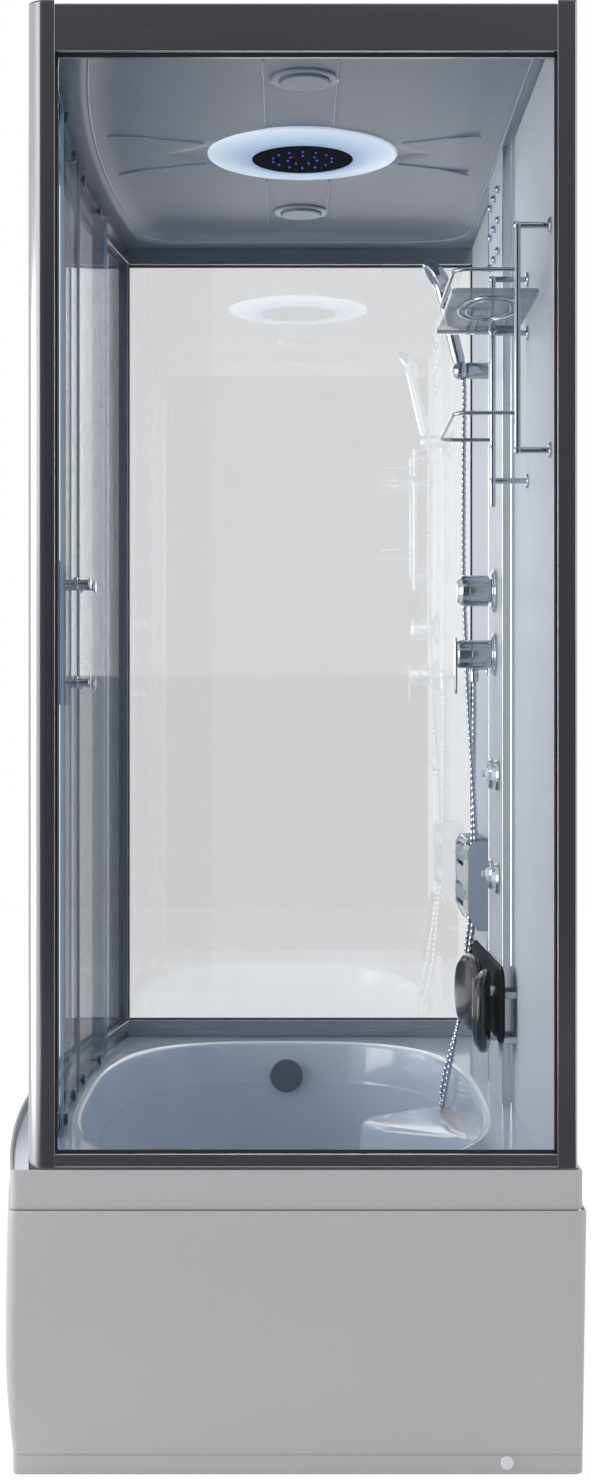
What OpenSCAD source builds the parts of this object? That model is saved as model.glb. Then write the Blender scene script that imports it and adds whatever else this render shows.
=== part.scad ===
// Shower cabin with bathtub: an acrylic bath behind a bowed apron, an aluminium frame with glass
// ends, two curved sliding doors, a service column with mixer, body jets and hand shower,
// a shelf rack, a foot massager, back pads, and a moulded roof with a lit rain head.
// Millimetres. X runs along the bath, the back wall is toward +Y, the doors toward -Y,
// and Z = 0 is the floor.

/* [Cabin] */
// Length of the bath over its aprons
cabin_l = 1500; // [1460:10:1560]
// Depth from the wall side to the bow of the front apron
cabin_d = 900; // [890:5:930]
// Height of the corner posts above the floor
cabin_h = 2150; // [2120:5:2220]
// Radius of the curve on which the doors slide, seen from above
bow_r = 5000; // [4700:50:5600]
// Distance from the bow of the front apron back to that curve, at mid length
front_setback = 78; // [76:1:86]
// Distance from the rear of the bath to the inner face of the back wall
wall_setback = 42; // [40:1:48]
// Distance from each end of the bath to the end glass
end_setback = 35; // [34:1:40]

/* [Bath] */
// Height of the flat deck that the frame stands on
deck_z = 430; // [415:5:450]
// Height of the lip around the deck
lip_h = 15; // [8:1:20]
// Visible height of the rim skirt, from the lip down to the apron
skirt_h = 58; // [50:2:70]
// Wall of the bath shell
tub_t = 6; // [4:0.5:7]
// Width of the deck at each end of the basin
deck_end = 120; // [110:5:150]
// Width of the deck in front of the basin and behind it
deck_side = 105; // [103:1:120]
// Height of the basin floor above the room's floor
floor_z = 95; // [92:1:110]
// Height of the moulded seat
seat_z = 350; // [310:5:370]
// Length of the moulded seat along the back of the basin
seat_l = 400; // [300:10:440]
// Reach of the moulded seat into the basin
seat_reach = 182; // [120:2:200]
// Centre of the moulded seat along the bath
seat_x = -170; // [-220:5:-60]

/* [Aprons] */
// Thickness of the apron panels
apron_t = 4; // [3:0.5:5]
// How far the aprons stand proud of the rim skirt
apron_step = 6; // [5:1:8]
// Height of the plinth line on the aprons
plinth_h = 33; // [25:1:45]
// Height of the fullest part of the front apron
bulge_z = 180; // [150:5:220]

/* [Frame] */
// Width of the four corner posts along the bath
post_w = 40; // [36:1:44]
// Depth of the two front posts
front_post_d = 41; // [38:1:46]
// Depth of the two rear posts
rear_post_d = 29; // [26:1:34]
// Wall of the hollow posts
post_wall = 2.5; // [2:0.5:3.5]
// Height of the top rail and of the end beams
beam_h = 70; // [60:2:76]
// Height of the bottom rail and of the end sills
sill_h = 36; // [34:1:44]
// Thickness of all the glass
glass_t = 6; // [5:0.5:7]

/* [Sliding doors] */
// Length of one door leaf
door_l = 415; // [405:5:425]
// Overlap of a closed leaf and the fixed pane beside it
door_overlap = 20; // [12:2:28]
// Radius of the hanging rollers
roller_r = 11.5; // [10.5:0.5:12]
// Distance from the meeting edge to the first roller
roller_in_x = 85; // [70:5:110]
// Distance from the meeting edge to the second roller
roller_out_x = 318; // [290:2:340]
// Distance from the meeting edge to the handle
handle_x = 50; // [44:1:56]
// Height of the middle of the handles
handle_z = 1258; // [1150:5:1350]
// Spacing of the two fixings of a handle
handle_span = 176; // [150:2:224]

/* [Service column] */
// Centre of the column along the back wall
column_x = 12; // [5:1:15]
// Width of the column over its side trims
column_w = 264; // [258:2:270]
// How far the column stands out of the back wall
column_out = 20; // [19:1:24]
// Distance of the column's top below the rim of the roof
column_drop = 11; // [3:1:26]
// Height of the temperature knob
knob_z = 1335; // [1325:5:1360]
// Radius of the temperature knob
knob_r = 28; // [25:1:30]
// Height of the mixer
mixer_z = 1221; // [1205:2:1225]
// Radius of the mixer body
mixer_r = 25.5; // [23:0.5:27]
// Length of the mixer's lever plate
lever_l = 102; // [90:2:112]
// Height of the upper pair of body jets
jet_top_z = 1005; // [990:5:1030]
// Vertical spacing of the body jets
jet_pitch_z = 183; // [170:1:200]
// Horizontal spacing of the body jets
jet_pitch_x = 120; // [100:2:130]
// Radius of a body jet's ring
jet_r = 28.5; // [26:0.5:30]

/* [Roof] */
// Radius of the lit ring around the rain head
ring_r = 171; // [150:1:180]
// Radius of the rain head's spray plate
spray_r = 91; // [80:1:100]
// Distance of the rain head and lamps behind the middle of the cabin
ceiling_y = 41; // [20:1:60]
// Distance of the ceiling lamps from the end glass
lamp_in = 278; // [265:1:315]
// Radius of a ceiling lamp
lamp_r = 56; // [48:1:62]

/* [Fittings] */
// Distance of the near shelf bar from the posts
bar_near_in = 43; // [39:1:50]
// Spacing of the two shelf bars
rack_l = 300; // [282:2:322]
// Radius of the shelf bars
bar_r = 5; // [4.5:0.5:6]
// Distance of the shelf plate's top below the top of the posts
shelf_drop = 401; // [395:1:415]
// Reach of the shelf rails from the back wall
shelf_reach = 144; // [130:2:150]
// Length of the foot massager
massager_l = 311; // [300:1:320]
// Height of the foot massager
massager_h = 168; // [160:2:180]
// Depth of the foot massager
massager_d = 48; // [46:1:52]
// Radius of a massage roller
massage_r = 20; // [18:0.5:21]
// Length of a back pad
pad_l = 150; // [140:2:156]
// Height of a back pad
pad_h = 142; // [130:2:150]
// Thickness of a back pad
pad_t = 26; // [22:1:28]
// Radius of the hand shower's head
head_r = 39; // [34:1:44]
// Outer radius of the shower hose
hose_r = 5; // [4:0.25:5.5]

/* [Hidden] */

// Clearances: parts at rest, running fits, and the overrun of every cut
gap = 0.3;
run_gap = 0.05;
cut = 1;

// Facets of large arcs, of round parts and of hulls
arc_fn = 256;
round_fn = 64;
fine_fn = 32;

// The cabin's own planes
half_l = cabin_l / 2;
half_d = cabin_d / 2;
apron_r = bow_r + front_setback;
bow_cy = apron_r - half_d;
wall_y = half_d - wall_setback;
end_x = half_l - end_setback;
post_in_x = end_x - post_w / 2;
lip_z = deck_z + lip_h;
apron_z = lip_z - skirt_h;
basin_l = cabin_l - 2 * deck_end;
basin_d = cabin_d - 2 * deck_side;

// The bath's outline: corner radius, points on each stretch, width and run-out of the lip
corner_r = 18;
front_pts = 14;
corner_pts = 4;
side_pts = 8;
back_pts = 20;
lip_w = 5;
lip_run = 1;
lip_round = 2;
skirt_tail = 25;
basin_y = 5;
basin_power = 3;
// Basin wall: share of a height, inset from the deck's edge, and the seat's share of its reach.
// The first list runs from the deck down to the seat, the second from the seat to the floor.
upper_step_shares = [[1, -14, 0], [0.985, -5, 0], [0.9, 0, 0], [0.5, 6, 0], [0.02, 12, 0]];
lower_step_shares = [[1, 12.5, 0.95], [0.97, 13, 1], [0.7, 20, 1], [0.46, 30, 1], [0.27, 42, 1],
                     [0.12, 62, 0.97], [0.03, 92, 0.88], [0, 120, 0.75]];

// Waste, trap and overflow
drain_in = 280;
drain_y = 8;
drain_r = 25;
drain_flange_r = 35;
drain_flange_t = 2.5;
drain_wall = 3;
drain_body_l = 34;
plug_r = 27;
plug_t = 4;
plug_stem_r = 3;
spider_t = 4;
spider_hub_r = 6;
trap_r = 40;
trap_foot_z = 12;
trap_top = 2;
trap_wall = 3;
pipe_r = 18;
pipe_wall = 2;
spigot_r = 20;
spigot_l = 24;
outlet_z = 34;
outlet_end = 12;
overflow_y = 12;
overflow_z = 363;
overflow_r = 24;
overflow_flange_r = 30;
overflow_flange_t = 4;
overflow_pipe_r = 16;
overflow_pipe_out = 24;
overflow_pipe_z = 60;
overflow_in = 14.5;
overflow_back = 28;
knob_disc_r = 34;
knob_disc_t = 9;
knob_spindle_r = 5;
knob_spindle_l = 14;

// Support frame and feet
tube = 30;
tube_wall = 2;
frame_in = 60;
frame_front_in = 120;
frame_rib_share = 1 / 3;
foot_pad_r = 25;
foot_pad_t = 8;
foot_stud_r = 6;
foot_nut_r = 11;
foot_nut_t = 8;
foot_stud_in = 12;

// Aprons: seam beside the front corners, rear return, edge rounding, plinth step, cap
seam_in = 22;
seam_gap = 0.4;
rear_return = 44;
apron_round = 3;
plinth_groove = 1.5;
plinth_groove_h = 3;
apron_foot = 2;
end_taper = 6;
bow_taper = 11;
bow_top = 4;
cap_r = 10;
cap_t = 2.5;
cap_in = 117;
cap_z = 20;
cap_stem_r = 3;

// Rails: distances outward from the sliding glass curve
slide_back = 6;
rail_clear = 5;
rail_out = 30;
fixed_back = 15;
channel_d = 9.5;
groove_d = 8;
rail_wall = 4;
roller_drop = 49;
channel_top_h = 24;
guide_z = 11;
guide_h = 14;
channel_low_h = 17;
post_top = 4;
post_groove_d = 6;
post_corner_r = 12;
post_cap = 3;
sill_base_h = 18;
sill_step = 2;
glass_in_post = 5;

// Sliding leaves
leaf_low = 4;
seal_w = 8;
seal_meet = 0.4;
seal_in = 3;
seal_t = 6;
hole_slack = 0.5;
axle_r = 4;
hanger_cap_r = 10;
hanger_cap_t = 4;
roller_w = 8;
roller_groove = 1.5;
roller_lip = 2;
spool_r = 7;
spool_flange_r = 11;
spool_flange_t = 3;
spool_in = 24;
spool_out = 20;
pull_r = 8;
pull_over = 40;

// Back wall and column
panel_t = 5;
trim_w = 8;
trim_proud = 1;
column_t = 4;
shaft_r = 6;
shaft_hole_r = 9;
escutcheon_r = 39;
escutcheon_t = 6;
escutcheon_step_r = 33;
escutcheon_step_t = 3;
knob_l = 60;
knob_round = 9;
knob_collar_r = 22;
knob_collar_l = 4;
shaft_out = 28;
mixer_l = 34;
lever_hub_l = 26;
lever_t = 4;
lever_w = 22;
lever_up_share = 0.3;
valve_d = 30;
valve_w = 46;
valve_in = 19;
valve_over = 40;
supply_r = 10.5;
supply_bore_r = 7;
supply_pitch = 150;
supply_l = 16;
supply_end = 2;
riser_r = 8;
riser_x = 40;
branch_r = 6.5;
jet_bore_r = 14;
jet_ring_out = 8;
jet_lip = 3;
jet_hole_r = 17;
jet_nose_r = 6;
jet_nose_l = 5;
jet_spray_r = 3;
nozzle_drop = 61;
nozzle_pitch_z = 54.5;
nozzle_pitch_x = 70;
nozzle_rows = 3;
nozzle_r = 7;
nozzle_out = 8;
nozzle_stem_r = 4;
nozzle_orifice_r = 1.5;

// Roof
roof_t = 3;
roof_drop = 35;
roof_rise = 15;
roof_corner_r = 90;
// Inset of each ring of the ceiling from the roof's edge, and its share of the rise
roof_steps = [[34, 0], [50, 0.35], [86, 0.78], [120, 0.94], [160, 1]];
head_body_t = 10;
head_face_drop = 13.5;
ring_edge_t = 4;
spray_t = 3.5;
feed_r = 10;
feed_bore_r = 7;
feed_up = 6;
spray_rings = 3;
spray_ring_step = 24;
spray_per_ring = 6;
spray_hole_r = 1.5;
lamp_t = 4;
lamp_lens_r = 42;
lamp_lens_t = 4;

// Shelf rack
bar_near_out = 50;
bar_far_out = 58;
bar_near_spans = [-249, 96];
bar_far_spans = [-299, 78];
bracket_r = 5;
bracket_flange_r = 12;
bracket_flange_t = 4;
bracket_near_rises = [-245, 92];
bracket_far_rises = [-256, -14, 74];
wire_r = 3;
wire_rises = [-189, 26];
wire_bend = 22;
shelf_t = 8;
shelf_side = 9;
shelf_far_over = 44;
shelf_back = 15;
shelf_front_over = 3;
shelf_corner = 12;
collar_r = 9;
collar_t = 6;

// Massager and back pads
massager_x = -218;
massager_z = 703;
massager_wall = 4;
massager_chamfer = 16;
channel_near = 12;
channel_l = 108;
channel_front = 3.5;
massage_z_shares = [0.33, 0.8];
massage_end = 16;
massage_shaft_r = 4;
massage_front = 4;
massage_beads = 7;
massage_neck = 4;
pad_xs = [-150, 120];
pad_z = 590;
pad_back_out = 38;
pad_tilt = 7;
base_low_z = 544;
base_high_z = 679;
base_xs = [-367, 196];
base_front_out = 29;
spacer_r = 9;
spacer_pitch = 77;
pad_sides = 36;
// Share of a pad's outline and share of its thickness on each ring, from the back to the front
pad_ring_shares = [[0.86, 0], [0.97, 0.1], [1, 0.3], [0.985, 0.5], [0.93, 0.7], [0.8, 0.86], [0.55, 0.96]];
pad_round = 2.4;
stand_r = 8;

// Hand shower
holder_x = -218;
holder_drop = 381;
holder_out = 63;
holder_r = 15.5;
holder_ball_r = 17;
holder_bore_r = 9.5;
hand_tilt = 14;
hand_nut_r = 9;
hand_nut_l = 27;
hand_shoulder_r = 11;
hand_grip_r = 12.5;
hand_grip_l = 150;
hand_neck_r = 9;
head_t = 22;
head_tilt = 52;
head_z = 172;
outlet_x = -322;
outlet_out = 29;
outlet_top_z = 1212;
outlet_r = 12;
outlet_nut_r = 8.5;
outlet_nut_l = 22;

// Route of the shower hose: place along the wall and distance in front of it, with a share of the
// height from hose_turn_z to the hand shower on its way down, then with the height itself
hose_fall = [
  [-218, 59.66, 1], [-218, 58, 0.994], [-219, 57, 0.984], [-220, 57, 0.948], [-222, 58, 0.818],
  [-224, 58, 0.669], [-227, 54, 0.539], [-230, 48, 0.418], [-233, 40, 0.2975], [-236, 34, 0.186],
  [-237, 35, 0.1116], [-238, 38.5, 0.0279]
];
hose_rise = [
  [-239, 42.5, 680], [-240, 50, 620], [-240, 65, 527], [-240, 77, 470], [-241, 89, 405],
  [-247, 93, 381], [-262, 95, 363], [-281, 96, 357], [-300, 95, 363], [-315, 93, 381], [-321, 88, 407],
  [-322, 74, 462], [-322, 58, 520], [-322, 47, 620], [-322, 42.5, 680], [-322, 38, 710],
  [-322, 34, 800], [-322, 32, 900], [-322, 30, 1020], [-322, 29, 1120], [-322, 29, 1166],
  [-322, 29, 1177.7]
];
hose_turn_z = 680;
hose_ribs = 190;
hose_sides = 8;
hose_bore_share = 0.62;
hose_valley_share = 0.74;
hose_straight = 10;

// Plan outline of the cabin, inset from the aprons, with the same number of points at any inset
function arc_pts(c, r, a0, a1, n) =
  [for (k = [0 : n]) let (a = a0 + (a1 - a0) * k / n) [c[0] + r * cos(a), c[1] + r * sin(a)]];

function half_outline(hl, rf, yb, cr) =
  let (cx = hl - cr,
       phi = asin(cx / (rf - cr)),
       fy = bow_cy - (rf - cr) * cos(phi),
       by = yb - cr)
  concat(
    arc_pts([0, bow_cy], rf, -90, -90 + phi, front_pts),
    [for (k = [1 : corner_pts]) let (a = (phi - 90) * (1 - k / corner_pts))
      [cx + cr * cos(a), fy + cr * sin(a)]],
    [for (k = [1 : side_pts - 1]) [hl, fy + (by - fy) * k / side_pts]],
    arc_pts([cx, by], cr, 0, 90, corner_pts),
    [for (k = [1 : back_pts]) [cx * (1 - k / back_pts), yb]]
  );

function outline(hl, rf, yb, cr) =
  let (h = half_outline(hl, rf, yb, cr), n = len(h))
  concat(h, [for (k = [n - 2 : -1 : 1]) [-h[k][0], h[k][1]]]);

function plan(d) = outline(half_l - d, apron_r - d, half_d - d, corner_r - min(d, corner_r - cut));

// Basin ring: a superellipse met by the rays to the plan's points, with the seat pushed in
basin_rays = [for (p = plan(0)) atan2(p[1] - basin_y, p[0])];

function basin_at(a, inset) =
  1 / pow(pow(abs(cos(a)) / (basin_l / 2 - inset), basin_power)
          + pow(abs(sin(a)) / (basin_d / 2 - inset), basin_power), 1 / basin_power);

function seat_push(x) =
  abs(x - seat_x) < seat_l / 2 ? seat_reach * pow(cos(180 * (x - seat_x) / seat_l), 2) : 0;

function basin_ring(inset, share) =
  [for (a = basin_rays)
    let (r = basin_at(a, inset), x = r * cos(a), y = r * sin(a))
    [x, basin_y + y - (y > 0 ? share * seat_push(x) : 0)]];

function at_z(pts, z) = [for (p = pts) [p[0], p[1], z]];

// Closed surface through rings of equal count: each ring joins the next, both ends are fanned
module loft(rings) {
  n = len(rings[0]);
  m = len(rings);
  pts = [for (r = rings) for (p = r) p];
  first = mean(rings[0]);
  last = mean(rings[m - 1]);
  all = concat(pts, [first, last]);
  sides = [for (j = [0 : m - 2]) for (k = [0 : n - 1])
    let (a = j * n + k, b = j * n + (k + 1) % n)
    each [[a, a + n, b], [b, a + n, b + n]]];
  caps = [for (k = [0 : n - 1])
    each [[n * m, k, (k + 1) % n],
          [n * m + 1, (m - 1) * n + (k + 1) % n, (m - 1) * n + k]]];
  polyhedron(points = all, faces = concat(sides, caps), convexity = 10);
}

function mean(pts) = let (n = len(pts)) [for (i = [0 : 2]) sum([for (p = pts) p[i]]) / n];
function sum(v) = [for (x = v) 1] * v;

// Bar along the bow, between two radii and two heights, cut square at both ends
module bow_bar(r0, r1, z0, z1, x0, x1) {
  reach = cut + max(abs(x0), abs(x1));
  a = asin(reach / r0);
  intersection() {
    translate([0, bow_cy, 0]) rotate([0, 0, -90 - a])
      rotate_extrude(angle = 2 * a, $fn = arc_fn)
        translate([r0, z0]) square([r1 - r0, z1 - z0]);
    translate([x0, -half_d - cut, z0 - cut]) cube([x1 - x0, half_d, z1 - z0 + 2 * cut]);
  }
}

module mirrored() {
  children();
  mirror([1, 0, 0]) children();
}

module box(low, high) {
  translate(low) cube(high - low);
}

module rod(from, to, r, fn = round_fn) {
  v = to - from;
  l = norm(v);
  translate(from) rotate([0, acos(v[2] / l), atan2(v[1], v[0])]) cylinder(r = r, h = l, $fn = fn);
}

// Round part whose profile runs out of the back wall along -Y
module from_wall(x, y, z) {
  translate([x, y, z]) rotate([90, 0, 0]) children();
}

// Heights and radii worked out from the values above
slide_r = bow_r - slide_back;
rail_in = slide_r + rail_clear;
rail_outer = bow_r + rail_out;
fixed_r = bow_r + fixed_back;
beam_top = cabin_h - post_top;
beam_low = beam_top - beam_h;
sill_top = deck_z + sill_h;
roof_rim_z = beam_top - roof_drop;
roof_rear = wall_y + rear_post_d;
ceiling_z = roof_rim_z + roof_rise;
lamp_x = end_x - lamp_in;
roller_z = beam_top - roller_drop;
leaf_z0 = deck_z + leaf_low;
leaf_z1 = roof_rim_z - cut - 2 * cut;
shoe_z = deck_z + guide_z;
front_post_y = bow_cy - sqrt(pow(fixed_r, 2) - pow(end_x, 2)) + post_groove_d + rail_wall;
column_y = wall_y - column_out;
column_top = roof_rim_z - column_drop;
nozzle_top_z = column_top - nozzle_drop;
column_x0 = column_x - column_w / 2;
column_x1 = column_x + column_w / 2;
escutcheon_y = column_y - escutcheon_t - escutcheon_step_t;
mixer_front_y = escutcheon_y - mixer_l;
valve_y = column_y + valve_in;
valve_cy = valve_y + valve_d / 2;
drain_x = drain_in - half_l;
seam_x = half_l - seam_in;
cap_y = half_d - cap_in;
frame_x = half_l - frame_in;
frame_rib_x = half_l * frame_rib_share;
frame_front_y = frame_front_in - half_d;
frame_rear_y = wall_y;
frame_z = floor_z - tub_t - gap - tube;
jet_places = [for (z = [jet_top_z, jet_top_z - jet_pitch_z], s = [-1, 1])
              [column_x + s * jet_pitch_x / 2, z]];
jet_y = column_y - cut;
overflow_x = -basin_l / 2 + overflow_in;
overflow_pipe_x = -basin_l / 2 - overflow_pipe_out;
massager_x0 = massager_x - massager_l;
massager_y0 = wall_y - massager_d;
channel_x1 = massager_x - channel_near;
channel_x0 = channel_x1 - channel_l;
massage_x = [massager_x0 + massage_end, channel_x0 - massage_end];
massage_y = massager_y0 + massage_r - massage_front;
shelf_front_y = wall_y - shelf_reach;
shelf_z = cabin_h - shelf_drop;
bar_near_x = post_in_x - bar_near_in;
bar_far_x = bar_near_x - rack_l;
bar_near_y = wall_y - bar_near_out;
bar_far_y = wall_y - bar_far_out;
pad_back_y = wall_y - pad_back_out;
base_front_y = wall_y - base_front_out;
holder_z = cabin_h - holder_drop;
holder_ball_y = wall_y - holder_out;
outlet_y = wall_y - outlet_out;
hose_top_z = holder_z - (hand_nut_l / 2 + gap) * cos(hand_tilt);
hose_points = concat(
  [for (p = hose_fall) [p[0], wall_y - p[1], hose_turn_z + p[2] * (hose_top_z - hose_turn_z)]],
  [for (p = hose_rise) [p[0], wall_y - p[1], p[2]]]);

// Bath shell: skirt, lip and deck run into the basin, whose back wall carries the seat
module tub_shell() {
  upper = [for (s = upper_step_shares) [seat_z + s[0] * (deck_z - seat_z), s[1], s[2]]];
  lower = [for (s = lower_step_shares) [floor_z + s[0] * (seat_z - floor_z), s[1], s[2]]];
  steps = concat(upper, lower);
  n = len(steps);
  inside = [for (s = steps) at_z(basin_ring(s[1], s[2]), s[0])];
  outside = [for (k = [n - 1 : -1 : 0])
    at_z(basin_ring(steps[k][1] - tub_t, steps[k][2]), steps[k][0] - tub_t)];
  skirt_low = apron_z - skirt_tail;
  ledge_z = apron_z + gap;
  tail_in = bow_top + apron_round + apron_t + gap;
  rim = [
    at_z(plan(apron_step + tub_t), deck_z - tub_t),
    at_z(plan(apron_step + tub_t), ledge_z + tub_t),
    at_z(plan(tail_in + tub_t), ledge_z),
    at_z(plan(tail_in + tub_t), skirt_low),
    at_z(plan(tail_in), skirt_low),
    at_z(plan(tail_in), ledge_z),
    at_z(plan(apron_step), ledge_z),
    at_z(plan(apron_step), lip_z - lip_round),
    at_z(plan(apron_step + lip_round), lip_z),
    at_z(plan(apron_step + lip_w), lip_z),
    at_z(plan(apron_step + lip_w + lip_run), deck_z)
  ];
  color("gainsboro") difference() {
    loft(concat(outside, rim, inside));
    translate([drain_x, drain_y, floor_z - tub_t - cut])
      cylinder(r = drain_r, h = tub_t + 2 * cut, $fn = round_fn);
    translate([overflow_x - overflow_back, overflow_y, overflow_z]) rotate([0, 90, 0])
      cylinder(r = overflow_r + gap, h = overflow_back + overflow_in, $fn = round_fn);
  }
}

// Welded frame of square tube under the deck and the basin
module support_frame() {
  t2 = tube / 2;
  top = deck_z - tub_t - gap;
  module bars(w, over) {
    for (y = [frame_front_y, frame_rear_y])
      box([-frame_x - w, y - w, frame_z + t2 - w], [frame_x + w, y + w, frame_z + t2 + w]);
    for (x = [-frame_x, -frame_rib_x, frame_rib_x, frame_x])
      box([x - w, frame_front_y - w, frame_z + t2 - w], [x + w, frame_rear_y + w, frame_z + t2 + w]);
    for (x = [-frame_x, frame_x], y = [frame_front_y, frame_rear_y])
      box([x - w, y - w, frame_z + t2 - w], [x + w, y + w, top + over]);
  }
  color("dimgray") difference() {
    bars(t2, 0);
    bars(t2 - tube_wall, cut);
    feet_places() cylinder(r = foot_stud_r + run_gap, h = frame_z + tube_wall + cut, $fn = round_fn);
  }
}

module feet_places() {
  for (x = [-frame_x, -frame_rib_x, frame_rib_x, frame_x], y = [frame_front_y, frame_rear_y])
    translate([x, y, 0]) children();
}

// Threaded feet with their pads and lock nuts
module levelling_feet() {
  color("darkgray") feet_places() {
    cylinder(r = foot_pad_r, h = foot_pad_t, $fn = round_fn);
    cylinder(r = foot_stud_r, h = frame_z + foot_stud_in, $fn = round_fn);
    translate([0, 0, frame_z - foot_nut_t - gap]) cylinder(r = foot_nut_r, h = foot_nut_t, $fn = 6);
  }
}

// Levels of an apron panel from the foot up, and its inset there: bowed front and plain ends
function apron_levels() =
  let (low = plinth_h, high = apron_z - apron_round, steps = 9)
  concat([apron_foot, apron_foot + apron_round, low - plinth_groove_h, low - plinth_groove_h / 2],
         [for (k = [0 : steps]) low + (high - low) * k / steps], [apron_z]);

function apron_edge(z) =
  z <= apron_foot || z >= apron_z ? apron_round
  : z == plinth_h - plinth_groove_h / 2 ? plinth_groove : 0;

function bow_inset(z) =
  z < plinth_h ? bow_taper
  : z < bulge_z ? bow_taper * pow((bulge_z - z) / (bulge_z - plinth_h), 2)
  : bow_top * pow((z - bulge_z) / (apron_z - bulge_z), 2);

function end_inset(z) = end_taper * (1 - z / apron_z);

module front_apron() {
  levels = apron_levels();
  outer = [for (z = levels) [apron_r - bow_inset(z) - apron_edge(z), z]];
  inner = [for (k = [len(levels) - 1 : -1 : 0])
    [apron_r - bow_inset(levels[k]) - apron_round - apron_t, levels[k]]];
  x1 = seam_x - seam_gap / 2;
  a = asin((x1 + cut) / (apron_r - bow_taper - apron_round - apron_t));
  color("gainsboro") intersection() {
    translate([0, bow_cy, 0]) rotate([0, 0, -90 - a])
      rotate_extrude(angle = 2 * a, $fn = arc_fn) polygon(concat(outer, inner));
    box([-x1, -half_d - cut, 0], [x1, 0, apron_z]);
  }
}

// Point of an end panel's plan: the seam, the front corner, the rear corner, then the return
function end_point(k, z, deep) =
  let (n = corner_pts,
       f = k == 0 ? 1 : k <= n + 1 ? 1 - (k - 1) / n : 0,
       d = f * bow_inset(z) + (1 - f) * end_inset(z) + deep,
       cx = half_l - corner_r,
       phi = asin(cx / (apron_r - corner_r)),
       fy = bow_cy - (apron_r - corner_r) * cos(phi),
       sa = asin((seam_x + seam_gap / 2) / apron_r))
  k == 0 ? [(apron_r - d) * sin(sa), bow_cy - (apron_r - d) * cos(sa), z]
  : k <= n + 1 ? let (a = (phi - 90) * (1 - (k - 1) / n))
    [cx + (corner_r - d) * cos(a), fy + (corner_r - d) * sin(a), z]
  : k <= 2 * n + 2 ? let (a = 90 * (k - n - 2) / n)
    [cx + (corner_r - d) * cos(a), half_d - corner_r + (corner_r - d) * sin(a), z]
  : [half_l - rear_return, half_d - d, z];

// Panel of even thickness: rings of inner points going up and outer points coming down
module panel(rings) {
  n = len(rings[0]);
  m = len(rings);
  sides = [for (j = [0 : m - 2]) for (k = [0 : n - 1])
    let (a = j * n + k, b = j * n + (k + 1) % n)
    each [[a, a + n, b], [b, a + n, b + n]]];
  caps = [for (k = [0 : n / 2 - 2]) let (e = (m - 1) * n)
    each [[k, k + 1, n - 1 - k], [k + 1, n - 2 - k, n - 1 - k],
          [e + k, e + n - 1 - k, e + k + 1], [e + k + 1, e + n - 1 - k, e + n - 2 - k]]];
  polyhedron(points = [for (r = rings) each r], faces = concat(sides, caps), convexity = 6);
}

// End panels that wrap the corners, one mirrored from the other
module end_aprons() {
  levels = apron_levels();
  n = len(levels);
  rings = [for (k = [0 : 2 * corner_pts + 3])
    concat([for (z = levels) end_point(k, z, apron_round + apron_t)],
           [for (i = [n - 1 : -1 : 0]) end_point(k, levels[i], apron_edge(levels[i]))])];
  color("gainsboro") mirrored() difference() {
    panel(rings);
    cap_place() translate([0, 0, -tube]) cylinder(r = cap_stem_r + gap, h = 2 * tube, $fn = round_fn);
  }
}

module cap_place() {
  translate([half_l - end_inset(cap_z), cap_y, cap_z]) rotate([0, 90, 0]) children();
}

// Screw caps near the rear foot of each end panel
module apron_screw_caps() {
  color("silver") mirrored() cap_place() {
    translate([0, 0, gap / 2]) cylinder(r = cap_r, h = cap_t, $fn = round_fn);
    translate([0, 0, -apron_t - apron_round - cap_t])
      cylinder(r = cap_stem_r, h = apron_t + apron_round + 2 * cap_t, $fn = round_fn);
  }
}

// Waste: flange on the basin floor, threaded body and the guide for the plug's stem
module drain_waste() {
  body_r = drain_r - gap;
  bore = body_r - drain_wall;
  color("silver") translate([drain_x, drain_y, floor_z]) {
    rotate_extrude($fn = round_fn) polygon([
      [bore, -drain_body_l], [body_r, -drain_body_l], [body_r, 0], [drain_flange_r, 0],
      [drain_flange_r - drain_flange_t, drain_flange_t], [bore, drain_flange_t]]);
    difference() {
      union() {
        cylinder_at(-drain_body_l, spider_hub_r, spider_t);
        for (a = [0, 120, 240]) rotate([0, 0, a])
          translate([0, -spider_t / 2, -drain_body_l]) cube([bore + cut, spider_t, spider_t]);
      }
      cylinder_at(-drain_body_l - cut, plug_stem_r + run_gap, spider_t + 2 * cut);
    }
  }
}

module cylinder_at(z, r, h) {
  translate([0, 0, z]) cylinder(r = r, h = h, $fn = round_fn);
}

// Lifting plug with its stem
module drain_plug() {
  color("silver") translate([drain_x, drain_y, floor_z + drain_flange_t + gap]) {
    rotate_extrude($fn = round_fn) polygon([
      [0, 0], [plug_r - drain_wall, 0], [plug_r, drain_wall / 2], [plug_r - drain_wall, plug_t],
      [0, plug_t]]);
    cylinder_at(-drain_body_l - drain_flange_t, plug_stem_r, drain_body_l + drain_flange_t + cut);
  }
}

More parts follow.
